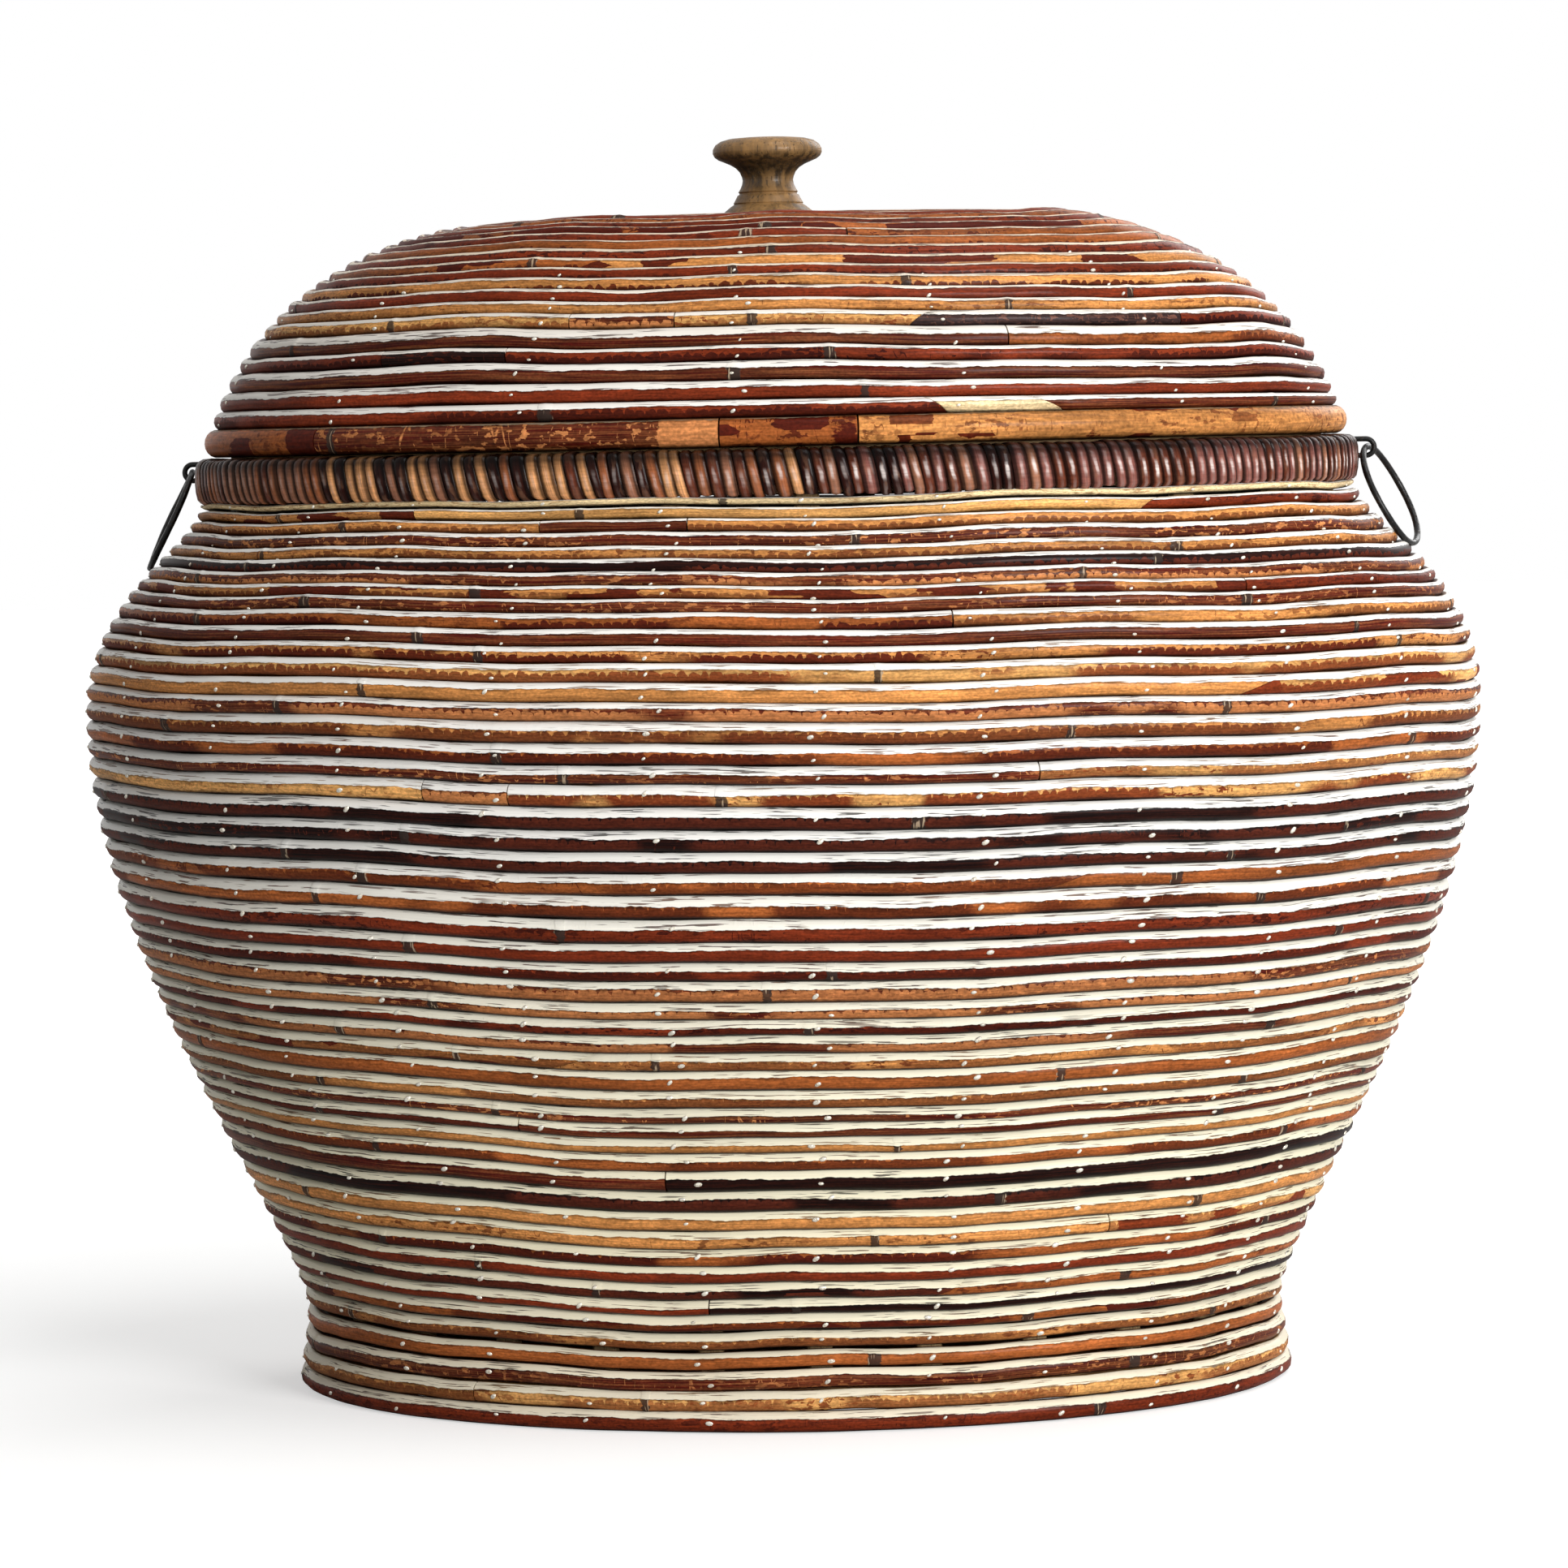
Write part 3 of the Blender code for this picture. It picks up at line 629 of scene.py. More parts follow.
@dataclass(frozen=True)
class MetalFinish:
    """A metal: how bright it is, and the tarnish that gathers on it in spots."""

    name: str
    color: Color
    tarnish: Color
    metallic: float
    rough: tuple[float, float]
    spot: float = 0.0015
    specular: float = 0.5
    relief: float = 0.00006

    def make(self) -> bpy.types.Material:
        """Build the material.

        Returns:
            The material.
        """
        paint = Paint(self.name)
        where = paint.place()
        spots = paint.smooth(paint.noise(where, 1.0 / self.spot, 3.0), 0.52, 0.66)
        cloud = paint.noise(where, 0.12 / self.spot)
        color = paint.blend(spots * 0.7, self.color, self.tarnish)
        color = paint.shade(color, paint.scaled(cloud, 0.3, 0.7, 0.8, 1.15))
        height = spots + cloud
        roughness = paint.scaled(height, 0.3, 1.6, *self.rough)
        constants = {"Metallic": self.metallic, "Specular_IOR_Level": self.specular}
        return paint.finish(color, roughness, height, self.relief, **constants)


@dataclass(frozen=True)
class Oval:
    """A level oval round the basket: half its length, half its depth and its height."""

    half_length: float
    half_depth: float
    height: float
    tip: float = 0.0  # how far the wall's face looks up there, in radians

    def runs(self) -> tuple[np.ndarray, np.ndarray]:
        """Angles round the oval and the distances to them, from +X anticlockwise.

        Returns:
            The angles of three turns, the first of them backwards, and the distances.
        """
        angles = np.linspace(-math.tau, 2 * math.tau, 3 * OVAL_STEPS + 1)
        points = np.stack([self.half_length * np.cos(angles), self.half_depth * np.sin(angles)], axis=1)
        runs = distances(points)
        return angles, runs - np.interp(0.0, angles, runs)

    def around(self) -> float:
        """The whole distance round."""
        angles, runs = self.runs()
        return float(np.interp(math.tau, angles, runs))


class SideLine:
    """A wall's side line from Bezier stretches of half length and height, read by the distance along it."""

    POINTS = 80  # on each stretch

    def __init__(self, *stretches: Sequence[tuple[float, float]]) -> None:
        """Draw the line.

        Args:
            stretches: The four handles of each stretch.
        """
        points: list[Vector] = []
        for stretch in stretches:
            handles = [Vector((half, height, 0.0)) for half, height in stretch]
            drawn = interpolate_bezier(*handles, self.POINTS)
            points += drawn[1:] if points else drawn
        self.points = np.array([point[:2] for point in points])
        self.distances = distances(self.points)
        self.length = float(self.distances[-1])
        self.ways = unit(np.gradient(self.points, self.distances, axis=0))

    def read(self, distance: np.ndarray, depth: float = 0.0) -> Ovals:
        """Ovals at distances along the line, also a little beyond its ends, and a depth in from it.

        Args:
            distance: How far along the line.
            depth: How far inside the wall.

        Returns:
            The ovals.
        """
        inside = np.clip(distance, 0.0, self.length)
        run, rise = (np.interp(inside, self.distances, self.ways[:, axis]) for axis in (0, 1))
        half, height = (np.interp(inside, self.distances, self.points[:, axis]) for axis in (0, 1))
        half, height = half + (distance - inside) * run, height + (distance - inside) * rise
        inset = rise * depth
        return half - inset, half * OVAL_RATIO - inset, height + run * depth, np.arctan2(-run, rise)

    def oval(self, distance: float, depth: float = 0.0) -> Oval:
        """The oval at one distance along the line and a depth in from it."""
        return Oval(*(float(value) for value in self.read(np.array(distance), depth)))


class Skin:
    """Collects tubes and domes into one mesh with a map of distances and its own tints."""

    def __init__(self, name: str) -> None:
        """Start an empty mesh.

        Args:
            name: The name of the object that it becomes.
        """
        self.name = name
        self.count = 0
        self.points: list[np.ndarray] = []
        self.faces: list[list[int]] = []
        self.map: list[np.ndarray] = []
        self.tints: dict[str, list[np.ndarray]] = {}

    def add(
        self, grid: np.ndarray, run: np.ndarray, tints: dict[str, Sequence[float]], caps: bool = True
    ) -> None:
        """Add a tube.

        Args:
            grid: Its points, as stations along it by points round it.
            run: The map at each of them, with one more column where the tube closes.
            tints: A color with alpha for each tint of this tube.
            caps: Whether its ends are closed by a face.
        """
        stations, sides = grid.shape[:2]
        index = self.count + np.arange(stations * sides).reshape(stations, sides)
        ahead = np.roll(index, -1, axis=1)
        quads = np.stack([index[:-1], index[1:], ahead[1:], ahead[:-1]], axis=-1).reshape(-1, 4)
        places = np.stack([run[:-1, :-1], run[1:, :-1], run[1:, 1:], run[:-1, 1:]], axis=2).reshape(-1, 2)
        self.points.append(grid.reshape(-1, 3))
        self.faces += quads.tolist()
        self.map.append(places)
        if caps:
            self.faces += [index[0].tolist(), index[-1][::-1].tolist()]
            self.map += [run[0, :-1], run[-1, :-1][::-1]]
        for name, tint in tints.items():
            self.tints.setdefault(name, []).append(np.tile(np.array(tint, float), (stations * sides, 1)))
        self.count += stations * sides

    def build(self, material: bpy.types.Material, sharp: float = math.radians(60)) -> bpy.types.Object:
        """Make the object.

        Args:
            material: Its finish.
            sharp: The angle from which an edge is sharp.

        Returns:
            The object, in the scene.
        """
        mesh = bpy.data.meshes.new(self.name)
        mesh.from_pydata(np.concatenate(self.points).tolist(), [], self.faces)
        layer = mesh.uv_layers.new(name="run")
        layer.data.foreach_set("uv", np.concatenate(self.map).astype(np.float32).ravel())
        for name, values in self.tints.items():
            tint = mesh.attributes.new(name, "FLOAT_COLOR", "POINT")
            tint.data.foreach_set("color", np.concatenate(values).astype(np.float32).ravel())
        mesh.shade_smooth()
        mesh.set_sharp_from_angle(angle=sharp)
        mesh.materials.append(material)
        return shown(self.name, mesh)


def keep(thing: bpy.types.Object, body: str, slot: str, *nodes: str) -> bpy.types.Object:
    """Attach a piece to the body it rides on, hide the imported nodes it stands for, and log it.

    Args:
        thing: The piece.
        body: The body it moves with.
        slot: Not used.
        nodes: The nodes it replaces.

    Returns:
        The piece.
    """
    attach(thing, body)
    if nodes:
        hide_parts(*nodes)
    LOG.info("%s: %d points, rides on %s", thing.name, len(thing.data.vertices), body)
    return thing


class Ripple:
    """Slow waves round the basket, the same for neighbouring canes, as hand-bent courses have."""

    def __init__(self, seed: int, size: float, turns: Sequence[int], climb: float) -> None:
        """Draw the waves.

        Args:
            seed: The seed of their phases.
            size: How far they reach, in metres.
            turns: How many waves there are round the basket, one number for each.
            climb: How fast the waves change with height, in radians to a metre.
        """
        rng = np.random.default_rng(seed)
        self.turns = np.array(turns)
        self.phases = rng.uniform(0.0, math.tau, len(turns))
        self.climbs = rng.uniform(-climb, climb, len(turns))
        self.sizes = size * rng.uniform(0.5, 1.0, len(turns)) / math.sqrt(len(turns))

    def at(self, angles: np.ndarray, height: float) -> np.ndarray:
        """How far the waves reach at angles round the basket and a height."""
        waves = np.sin(self.turns * angles[..., None] + self.climbs * height + self.phases)
        return (waves * self.sizes).sum(axis=-1)


@dataclass(frozen=True)
class Ripples:
    """Several ripples added."""

    parts: tuple[Ripple, ...]

    def at(self, angles: np.ndarray, height: float) -> np.ndarray:
        """How far they reach together."""
        return sum(part.at(angles, height) for part in self.parts)


@dataclass(frozen=True)
class Drift:
    """How the courses climb towards the oval's ends: a tilt and a bow, at distances along the side line."""

    knots: tuple[tuple[float, float, float], ...]  # distance, tilt and bow, in metres

    @classmethod
    def table(cls, *knots: tuple[float, float, float]) -> "Drift":
        """The drift of those knots."""
        return cls(knots)

    def at(self, distance: float, angles: np.ndarray) -> np.ndarray:
        """How far a course has moved along the side line.

        Args:
            distance: Where it lies on the side line.
            angles: Angles round the oval.

        Returns:
            The shifts at those angles, in metres.
        """
        at, tilt, bow = np.array(self.knots).T
        right = np.cos(angles)
        return np.interp(distance, at, tilt) * right + np.interp(distance, at, bow) * right**2


@dataclass(frozen=True)
class CaneLook:
    """What one length of cane looks like."""

    stain: Stain
    mottle: tuple[float, float, float]  # blotches, teeth and patches of bark, from 0 to 1
    seed: float
    knuckle: float  # where its knuckles fall, as a share of their spacing
    gloss: tuple[float, float, float]  # where the painted highlight starts and ends, in turns, and its strength
    # tint: the painted highlight's color
    tint: Color
    gain: float = 1.0
    lean: float = 0.0  # how far the wall's face looks up there, in turns

    def tints(self) -> dict[str, tuple[float, float, float, float]]:
        """The tints of the mesh that the finish reads.

        Returns:
            The color and the alpha of each tint.
        """
        ground = tuple(part * self.gain for part in self.stain.ground)
        return {
            "stain": (*ground, self.seed),
            "bark": (*self.stain.bark, 1.0),
            "mottle": (*self.mottle, self.knuckle),
            "gloss": (*self.gloss, 1.0),
            "tint": (*self.tint, 0.5 + self.lean),
        }


@dataclass
class Bender:
    """Bends lengths of cane along a course of a wall into a mesh."""

    skin: Skin
    line: SideLine
    drift: Drift
    low: float  # distance along the side line of the course's lower and upper edge
    high: float
    out: Ripples
    up: Ripples
    cane: float
    sides: int = 14
    step: float = 0.0062
    slant_reach: float = 0.03  # how far from a slanting end the stations lean with it
    spacing: float = CaneFinish.spacing  # between knuckles
    swell: float = 0.00030  # at a knuckle
    swell_reach: float = 0.0014

    @property
    def oval(self) -> Oval:
        """The oval of the course's middle."""
        return self.line.oval((self.low + self.high) / 2, self.cane / 2)

    def course(self, angles: np.ndarray) -> Ovals:
        """The course at angles round the oval.

        Args:
            angles: The angles.

        Returns:
            Its ovals, and half the cane's thickness along the wall.
        """
        low = self.low + self.drift.at(self.low, angles)
        high = self.high + self.drift.at(self.high, angles)
        return (*self.line.read((low + high) / 2, self.cane / 2), (high - low) / 2 * 0.995)

    def stops(self, first: float, last: float, knuckle: float) -> tuple[np.ndarray, np.ndarray]:
        """Stations along a length of cane, closer at its knuckles.

        Args:
            first, last: The distances where it starts and ends.
            knuckle: Where its knuckles fall, as a share of their spacing.

        Returns:
            The stations, and how far the cane swells there.
        """
        stops = np.linspace(first, last, max(4, int((last - first) / self.step)))
        knots = np.arange(math.ceil(first / self.spacing - 1), last / self.spacing + 1)
        knots = (knots - knuckle) * self.spacing
        knots = knots[(knots > first + 0.01) & (knots < last - 0.01)]
        if not len(knots):
            return stops, np.zeros_like(stops)
        extra = (knots[:, None] + np.array([-0.0024, -0.0011, 0.0, 0.0011, 0.0024])).ravel()
        stops = stops[np.abs(stops[:, None] - knots).min(axis=1) > 0.003]
        stops = np.sort(np.concatenate([stops, extra]))
        away = np.abs(stops[:, None] - knots).min(axis=1)
        return stops, np.exp(-((away / self.swell_reach) ** 2)) * self.swell

    def bend(
        self, start: float, end: float, thick: float, look: CaneLook, slants: tuple[float, float]
    ) -> None:
        """Add one length of cane.

        Args:
            start: The angle where it starts.
            end: The angle where it ends.
            thick: Half its thickness across the wall.
            look: What it looks like.
            slants: How far its two ends are cut aslant, as a slope.
        """
        oval = self.oval
        angles, runs = oval.runs()
        first, last = np.interp([start, end], angles, runs)
        stops, swell = self.stops(first, last, look.knuckle)
        station = np.interp(stops, runs, angles)
        half_length, half_depth, height, tip, half = (value[:, None] for value in self.course(station))
        turn = np.linspace(-math.pi, math.pi, self.sides + 1)
        spread = np.cos(turn)[None, :] * (thick + swell[:, None])
        climb = np.sin(turn)[None, :] * (half + swell[:, None] * 0.3)
        near_start = np.clip(1.0 - (stops - first) / self.slant_reach, 0.0, 1.0)[:, None]
        near_end = np.clip(1.0 - (last - stops) / self.slant_reach, 0.0, 1.0)[:, None]
        runs_here = stops[:, None] + climb * (near_start * slants[0] + near_end * slants[1])
        at = np.interp(runs_here, runs, angles)

        side = unit(np.stack([half_depth * np.cos(at), half_length * np.sin(at)], axis=-1))
        out = spread * np.cos(tip) - climb * np.sin(tip) + self.out.at(at, oval.height)
        rise = spread * np.sin(tip) + climb * np.cos(tip) + self.up.at(at, oval.height)
        across = [half_length * np.cos(at), half_depth * np.sin(at)]
        x, y = (across[part] + side[..., part] * out for part in (0, 1))
        grid = np.stack([x, y, height + rise], axis=-1)
        run = np.stack([runs_here, np.broadcast_to(turn + tip, at.shape) / math.tau], axis=-1)
        self.skin.add(grid[:, :-1], run, look.tints())


@dataclass
class CourseStyle:
    """What the canes of some courses have in common: their stains, and the painted highlight's color and
    width.
    """

    letters: str  # the stain of each course's main cane in front, from the lowest course up
    tints: tuple[tuple[float, Color], ...]  # the painted highlight's color at shares of the way up
    shares: tuple[tuple[float, float], ...]  # how much of a course's visible height it takes, likewise
    strength: float = 0.97

    def tint(self, up: float) -> Color:
        """The painted highlight's color at a share of the way up the wall."""
        at = [share for share, _ in self.tints]
        return tuple(float(np.interp(up, at, [color[part] for _, color in self.tints])) for part in range(3))

    def width(self, up: float) -> float:
        """The painted highlight's share of a course at a share of the way up the wall."""
        return float(np.interp(up, *zip(*self.shares)))


class CanePicker:
    """Picks looks for lengths of cane, the same ones every time."""

    STAINS = "KDDMMMRRRTTTGG"

    def __init__(self, seed: int) -> None:
        """Seed the picker."""
        self.rng = np.random.default_rng(seed)

    def mottle(self, stain: Stain) -> tuple[float, float, float]:
        """Draw how much bark a cane has.

        Args:
            stain: The cane's stain.

        Returns:
            The amounts of blotches, teeth and patches, from 0 to 1.
        """
        light = stain in (Stain.TAN, Stain.GOLDEN, Stain.CHESTNUT)
        odds = (0.62, 0.66, 0.2) if light else (0.45, 0.34, 0.07)
        draws = self.rng.uniform(0.0, 1.0, 6)
        return tuple(float(0.55 + 0.45 * draws[i + 3]) if draws[i] < odds[i] else 0.0 for i in range(3))

    def stain(self, letter: str | None = None) -> Stain:
        """A stain by its letter, or a common one."""
        drawn = self.STAINS[int(self.rng.integers(len(self.STAINS)))]
        return STAIN_LETTERS[letter or drawn]

    def look(
        self, stain: Stain, gloss: tuple[float, float, float], tint: Color, lean: float = 0.0
    ) -> CaneLook:
        """Draw the look of a length of cane.

        Args:
            stain: Its stain.
            gloss: Where its painted highlight starts and ends, in turns, and how strong it is.
            tint: The painted highlight's color.
            lean: How far the wall's face looks up there, in turns.

        Returns:
            The look.
        """
        mottle = self.mottle(stain)
        seed, knuckle = (float(value) for value in self.rng.uniform(0.0, 1.0, 2))
        shift, gain, pale = (float(value) for value in self.rng.uniform(-1.0, 1.0, 3))
        # a little jitter of the painted highlight's start, strength and color
        gloss = (gloss[0] + 0.012 * shift, gloss[1], gloss[2] * (1.0 - 0.05 * abs(pale)))
        tint = tuple(part * (1.0 + 0.03 * pale) for part in tint)
        return CaneLook(stain, mottle, seed, knuckle, gloss, tint, 1.0 + 0.12 * gain, lean)


@dataclass(frozen=True)
class Joint:
    """Where a length of cane ends on a course, and the stain that follows it to the right, in front."""

    course: int
    across: float  # from -1 at the left end of the oval to 1 at the right end
    letter: str
    slant: float = 0.0

    @property
    def angle(self) -> float:
        """The angle round the oval."""
        return FRONT + math.asin(self.across)

    @classmethod
    def table(cls, *rows: Sequence[int | float | str]) -> tuple["Joint", ...]:
        """The joints of a wall from rows of their values."""
        return tuple(cls(*row) for row in rows)


@dataclass
class CaneBand:
    """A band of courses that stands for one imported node."""

    node: str
    body: str
    first: int  # the number of its lowest course
    pitches: tuple[float, ...]  # how thick its canes are beside each other
    start: float  # distance along the side line
    end: float

    def courses(self) -> list[tuple[int, float, float]]:
        """The courses of the band, from the lowest up.

        Returns:
            The number of each course, and the distances of its lower and upper edge along the side line.
        """
        scale = (self.end - self.start) / sum(self.pitches)
        edges = self.start + laid(self.pitches) * scale
        numbered = enumerate(zip(edges, edges[1:]), self.first)
        return [(number, float(low), float(high)) for number, (low, high) in numbered]

    @classmethod
    def stack(
        cls, body: str, parts: Sequence[tuple[str, tuple[float, ...]]], edges: Sequence[float]
    ) -> list["CaneBand"]:
        """Bands one above another.

        Args:
            body: The body they ride on.
            parts: The node and the canes' thicknesses of each band, from the lowest up.
            edges: The distances along the side line where each starts, and where the last one ends.

        Returns:
            The bands.
        """
        bands, first = [], 0
        for (node, canes), start, end in zip(parts, edges, edges[1:]):
            bands.append(cls(node, body, first, canes, float(start), float(end)))
            first += len(canes)
        return bands


@dataclass
class CaneWall:
    """A wall of stacked canes along a side line, band by band, with the nails that hold them."""

    line: SideLine
    bands: list[CaneBand]
    style: CourseStyle
    joints: tuple[Joint, ...]
    drift: Drift
    seed: int
    cane: float = 0.0066
    clear: float = 0.0004  # under the lowest cane
    gloss_end: float = math.radians(74)  # how far round a cane the painted highlight reaches up

    def gloss(self, oval: Oval, half: float, up: float) -> tuple[float, float, float]:
        """Where the painted highlight lies on a course: along the top of what shows from the side.

        Args:
            oval: The course's oval.
            half: Half its thickness along the wall.
            up: How far up the wall it is, from 0 to 1.

        Returns:
            Its start and end in turns round the cane, and its strength.
        """
        pitch = 2 * half * math.cos(oval.tip)
        radius = self.cane / 2
        top = radius if oval.tip > 0 else min(radius, pitch - radius)
        start = math.asin(max(-0.9, min(0.96, (top - self.style.width(up) * pitch) / radius)))
        end = self.gloss_end + 0.3 * max(0.0, oval.tip - math.radians(20))
        return start / math.tau, end / math.tau, self.style.strength

    def bender(self, skin: Skin, number: int, low: float, high: float) -> Bender:
        """The bender for one course.

        Args:
            skin: Takes the canes.
            number: The course's number.
            low, high: The distances of its edges along the side line.

        Returns:
            The bender.
        """
        shared_out = Ripple(self.seed + 1, 0.0005, (2, 3, 5, 8, 13), 14.0)
        shared_up = Ripple(self.seed + 2, 0.0007 * min(1.0, number / 2), (4, 7, 11), 9.0)
        own_out = Ripple(self.seed + 100 + number, 0.00024, (9, 16, 27, 41), 0.0)
        own_up = Ripple(self.seed + 300 + number, 0.00020 * min(1, number), (7, 19, 33), 0.0)
        out, up = Ripples((shared_out, own_out)), Ripples((shared_up, own_up))
        return Bender(skin, self.line, self.drift, max(low, self.clear), high, out, up, self.cane)

    def build(self, finish: bpy.types.Material, slot: str = "round_cane") -> None:
        """Bend all canes of the wall, one piece for each band.

        Args:
            finish: The canes' material.
            slot: Their material slot.
        """
        picker = CanePicker(self.seed)
        for band in self.bands:
            skin = Skin(f"{band.node}_canes")
            for number, low, high in band.courses():
                self.course(self.bender(skin, number, low, high), picker, number)
            keep(skin.build(finish), band.body, slot, band.node)

    def course(self, bender: Bender, picker: CanePicker, number: int) -> None:
        """Bend one course: its main cane in front, then one or two more round the back.

        Args:
            bender: Takes the canes.
            picker: Picks how they look.
            number: The course's number.
        """
        oval = bender.oval
        up = (bender.low + bender.high) / 2 / self.line.length
        gloss, tint = self.gloss(oval, (bender.high - bender.low) / 2, up), self.style.tint(up)
        left = FRONT - float(picker.rng.uniform(1.5, 2.3))
        right = FRONT + float(picker.rng.uniform(1.5, 2.3))
        set_here = (joint for joint in self.joints if joint.course == number)
        set_here = sorted(set_here, key=lambda joint: joint.across)
        stops = [(left, self.style.letters[number], 0.0)]
        stops += [(joint.angle, joint.letter, joint.slant) for joint in set_here]
        stops.append((right, None, float(picker.rng.choice([0.0, 0.0, 2.5]))))
        stops.append((left + math.tau, None, 0.0))
        gap = 0.00025 / oval.half_length
        thick = self.cane / 2 * float(picker.rng.uniform(0.975, 1.0))
        for (start, letter, slant), (end, _, next_slant) in zip(stops, stops[1:]):
            look = picker.look(picker.stain(letter), gloss, tint, oval.tip / math.tau)
            bender.bend(start + gap, end - gap, thick, look, (slant, next_slant))


def even_angles(count: int) -> list[float]:
    """Angles that split an oval's length evenly, with the first half a space in.

    Args:
        count: How many.

    Returns:
        The angles.
    """
    oval = Oval(1.0, OVAL_RATIO, 0.0)
    angles, runs = oval.runs()
    around = oval.around()
    return [float(np.interp((number + 0.5) * around / count, runs, angles)) for number in range(count)]


@dataclass
class Nails:
    """The nail heads on a wall: one on nearly every course over each rib."""

    wall: CaneWall
    ribs: int
    name: str
    body: str
    seed: int
    half_wide: float = 0.00108
    half_tall: float = 0.00062
    proud: float = 0.00034
    sway: float = 0.0036  # how far along the cane a nail misses the middle of its rib
    odds: float = 0.72  # a draw from -1 to 1 below it sets a nail
    sides: int = 8
    profile: tuple[tuple[float, float], ...] = ((1.0, -0.8), (1.0, 0.1), (0.72, 0.7), (0.3, 1.0))

    def build(self, finish: bpy.types.Material) -> None:
        """Set the nails.

        Args:
            finish: The heads' material.
        """
        rng = np.random.default_rng(self.seed)
        skin = Skin(self.name)
        for band in self.wall.bands:
            for number, low, high in band.courses():
                bender = self.wall.bender(skin, number, low, high)
                for angle in even_angles(self.ribs):
                    draws = rng.uniform(-1.0, 1.0, 5)
                    if draws[3] < self.odds:
                        at = angle + self.sway * draws[0] / bender.oval.half_length
                        turn = math.radians(-6 + 22 * draws[1])
                        size = float(np.interp(bender.oval.height, (0.20, 0.27), (1.0, 0.74)))
                        size *= 1.0 + 0.25 * draws[2]
                        self.head(skin, bender, at, turn, size, 0.35 + 0.45 * draws[4])
        keep(skin.build(finish), self.body, "screw_steel")

    def head(self, skin: Skin, bender: Bender, angle: float, turn: float, size: float, spin: float) -> None:
        """Add one domed head.

        Args:
            skin: Takes it.
            bender: Knows where the course runs.
            angle: Where round the oval.
            turn: How far over the cane's outermost line, in radians.
            size: A share of the common size.
            spin: How far the head is turned on its cane.
        """
        at = np.array([angle])
        half_length, half_depth, height, tip, half = (float(value[0]) for value in bender.course(at))
        normal = Vector((half_depth * math.cos(angle), half_length * math.sin(angle), 0.0)).normalized()
        along = Vector((-normal.y, normal.x, 0.0))
        face = normal * math.cos(turn) + Vector((0.0, 0.0, math.sin(turn)))
        rise = along.cross(face) * -1.0
        spread, climb = self.wall.cane / 2 * math.cos(turn - tip), half * math.sin(turn - tip)
        seat = Vector((half_length * math.cos(angle), half_depth * math.sin(angle), height))
        out, up = (float(waves.at(at, bender.oval.height)[0]) for waves in (bender.out, bender.up))
        seat += normal * (spread * math.cos(tip) - climb * math.sin(tip) + out)
        seat.z += spread * math.sin(tip) + climb * math.cos(tip) + up
        wide = along * math.cos(spin) + rise * math.sin(spin)
        tall = rise * math.cos(spin) - along * math.sin(spin)
        around = math.tau * np.arange(self.sides) / self.sides
        flat = np.outer(np.cos(around) * self.half_wide, wide)
        flat += np.outer(np.sin(around) * self.half_tall, tall)
        centres = [(share, seat + face * (self.proud * lift)) for share, lift in self.profile]
        rings = [flat * share * size + np.array(centre) for share, centre in centres]
        run = run_map(np.linspace(0.0, 0.001, len(rings)), np.linspace(0.0, 0.002, self.sides + 1))
        skin.add(np.array(rings), run[..., ::-1], {})


def strip(
    skin: Skin, centres: np.ndarray, outs: np.ndarray, along: np.ndarray, width: float, thick: float
) -> None:
    """Add a flat strip with eased edges to a skin.

    Args:
        skin: Takes the strip.
        centres: The middle of its outer face, at each station.
        outs: The way its outer face looks, at each station.
        along: The way across its width.
        width: Its width.
        thick: Its thickness.
    """
    ease, half = thick * 0.22, width / 2
    across = np.array([-half, -half + ease, half - ease, half, half, half - ease, -half + ease, -half])
    deep = np.array([-ease, 0.0, 0.0, -ease, -thick + ease, -thick, -thick, -thick + ease])
    grid = centres[:, None] + across[None, :, None] * along[:, None] + deep[None, :, None] * outs[:, None]
    skin.add(grid, run_map(distances(centres), np.append(across + deep, across[0] + deep[0])), {})


@dataclass
class Ribs:
    """The flat ribs inside a wall, that its canes are nailed to."""

    name: str
    body: str
    nodes: list[str]
    ovals: list[tuple[Oval, Oval]]  # the outer and inner face, from the foot up
    width: float = 0.008

    def build(self, finish: bpy.types.Material) -> None:
        """Set the ribs.

        Args:
            finish: Their material.
        """
        skin = Skin(self.name)
        for angle in even_angles(len(self.nodes)):
            outer = np.array([self.point(pair[0], angle) for pair in self.ovals])
            inner = np.array([self.point(pair[1], angle) for pair in self.ovals])
            normal = Vector((OVAL_RATIO * math.cos(angle), math.sin(angle), 0.0)).normalized()
            across = np.tile(np.array([normal.y, -normal.x, 0.0]), (len(outer), 1))
            outs = outer - inner
            thick = float(np.linalg.norm(outs, axis=1).mean())
            strip(skin, outer, unit(outs), across, self.width, thick)
        keep(skin.build(finish, SOFT_EDGE), self.body, STRAW, *self.nodes)

    @staticmethod
    def point(oval: Oval, angle: float) -> tuple[float, float, float]:
        """The point of an oval at an angle."""
        return oval.half_length * math.cos(angle), oval.half_depth * math.sin(angle), oval.height


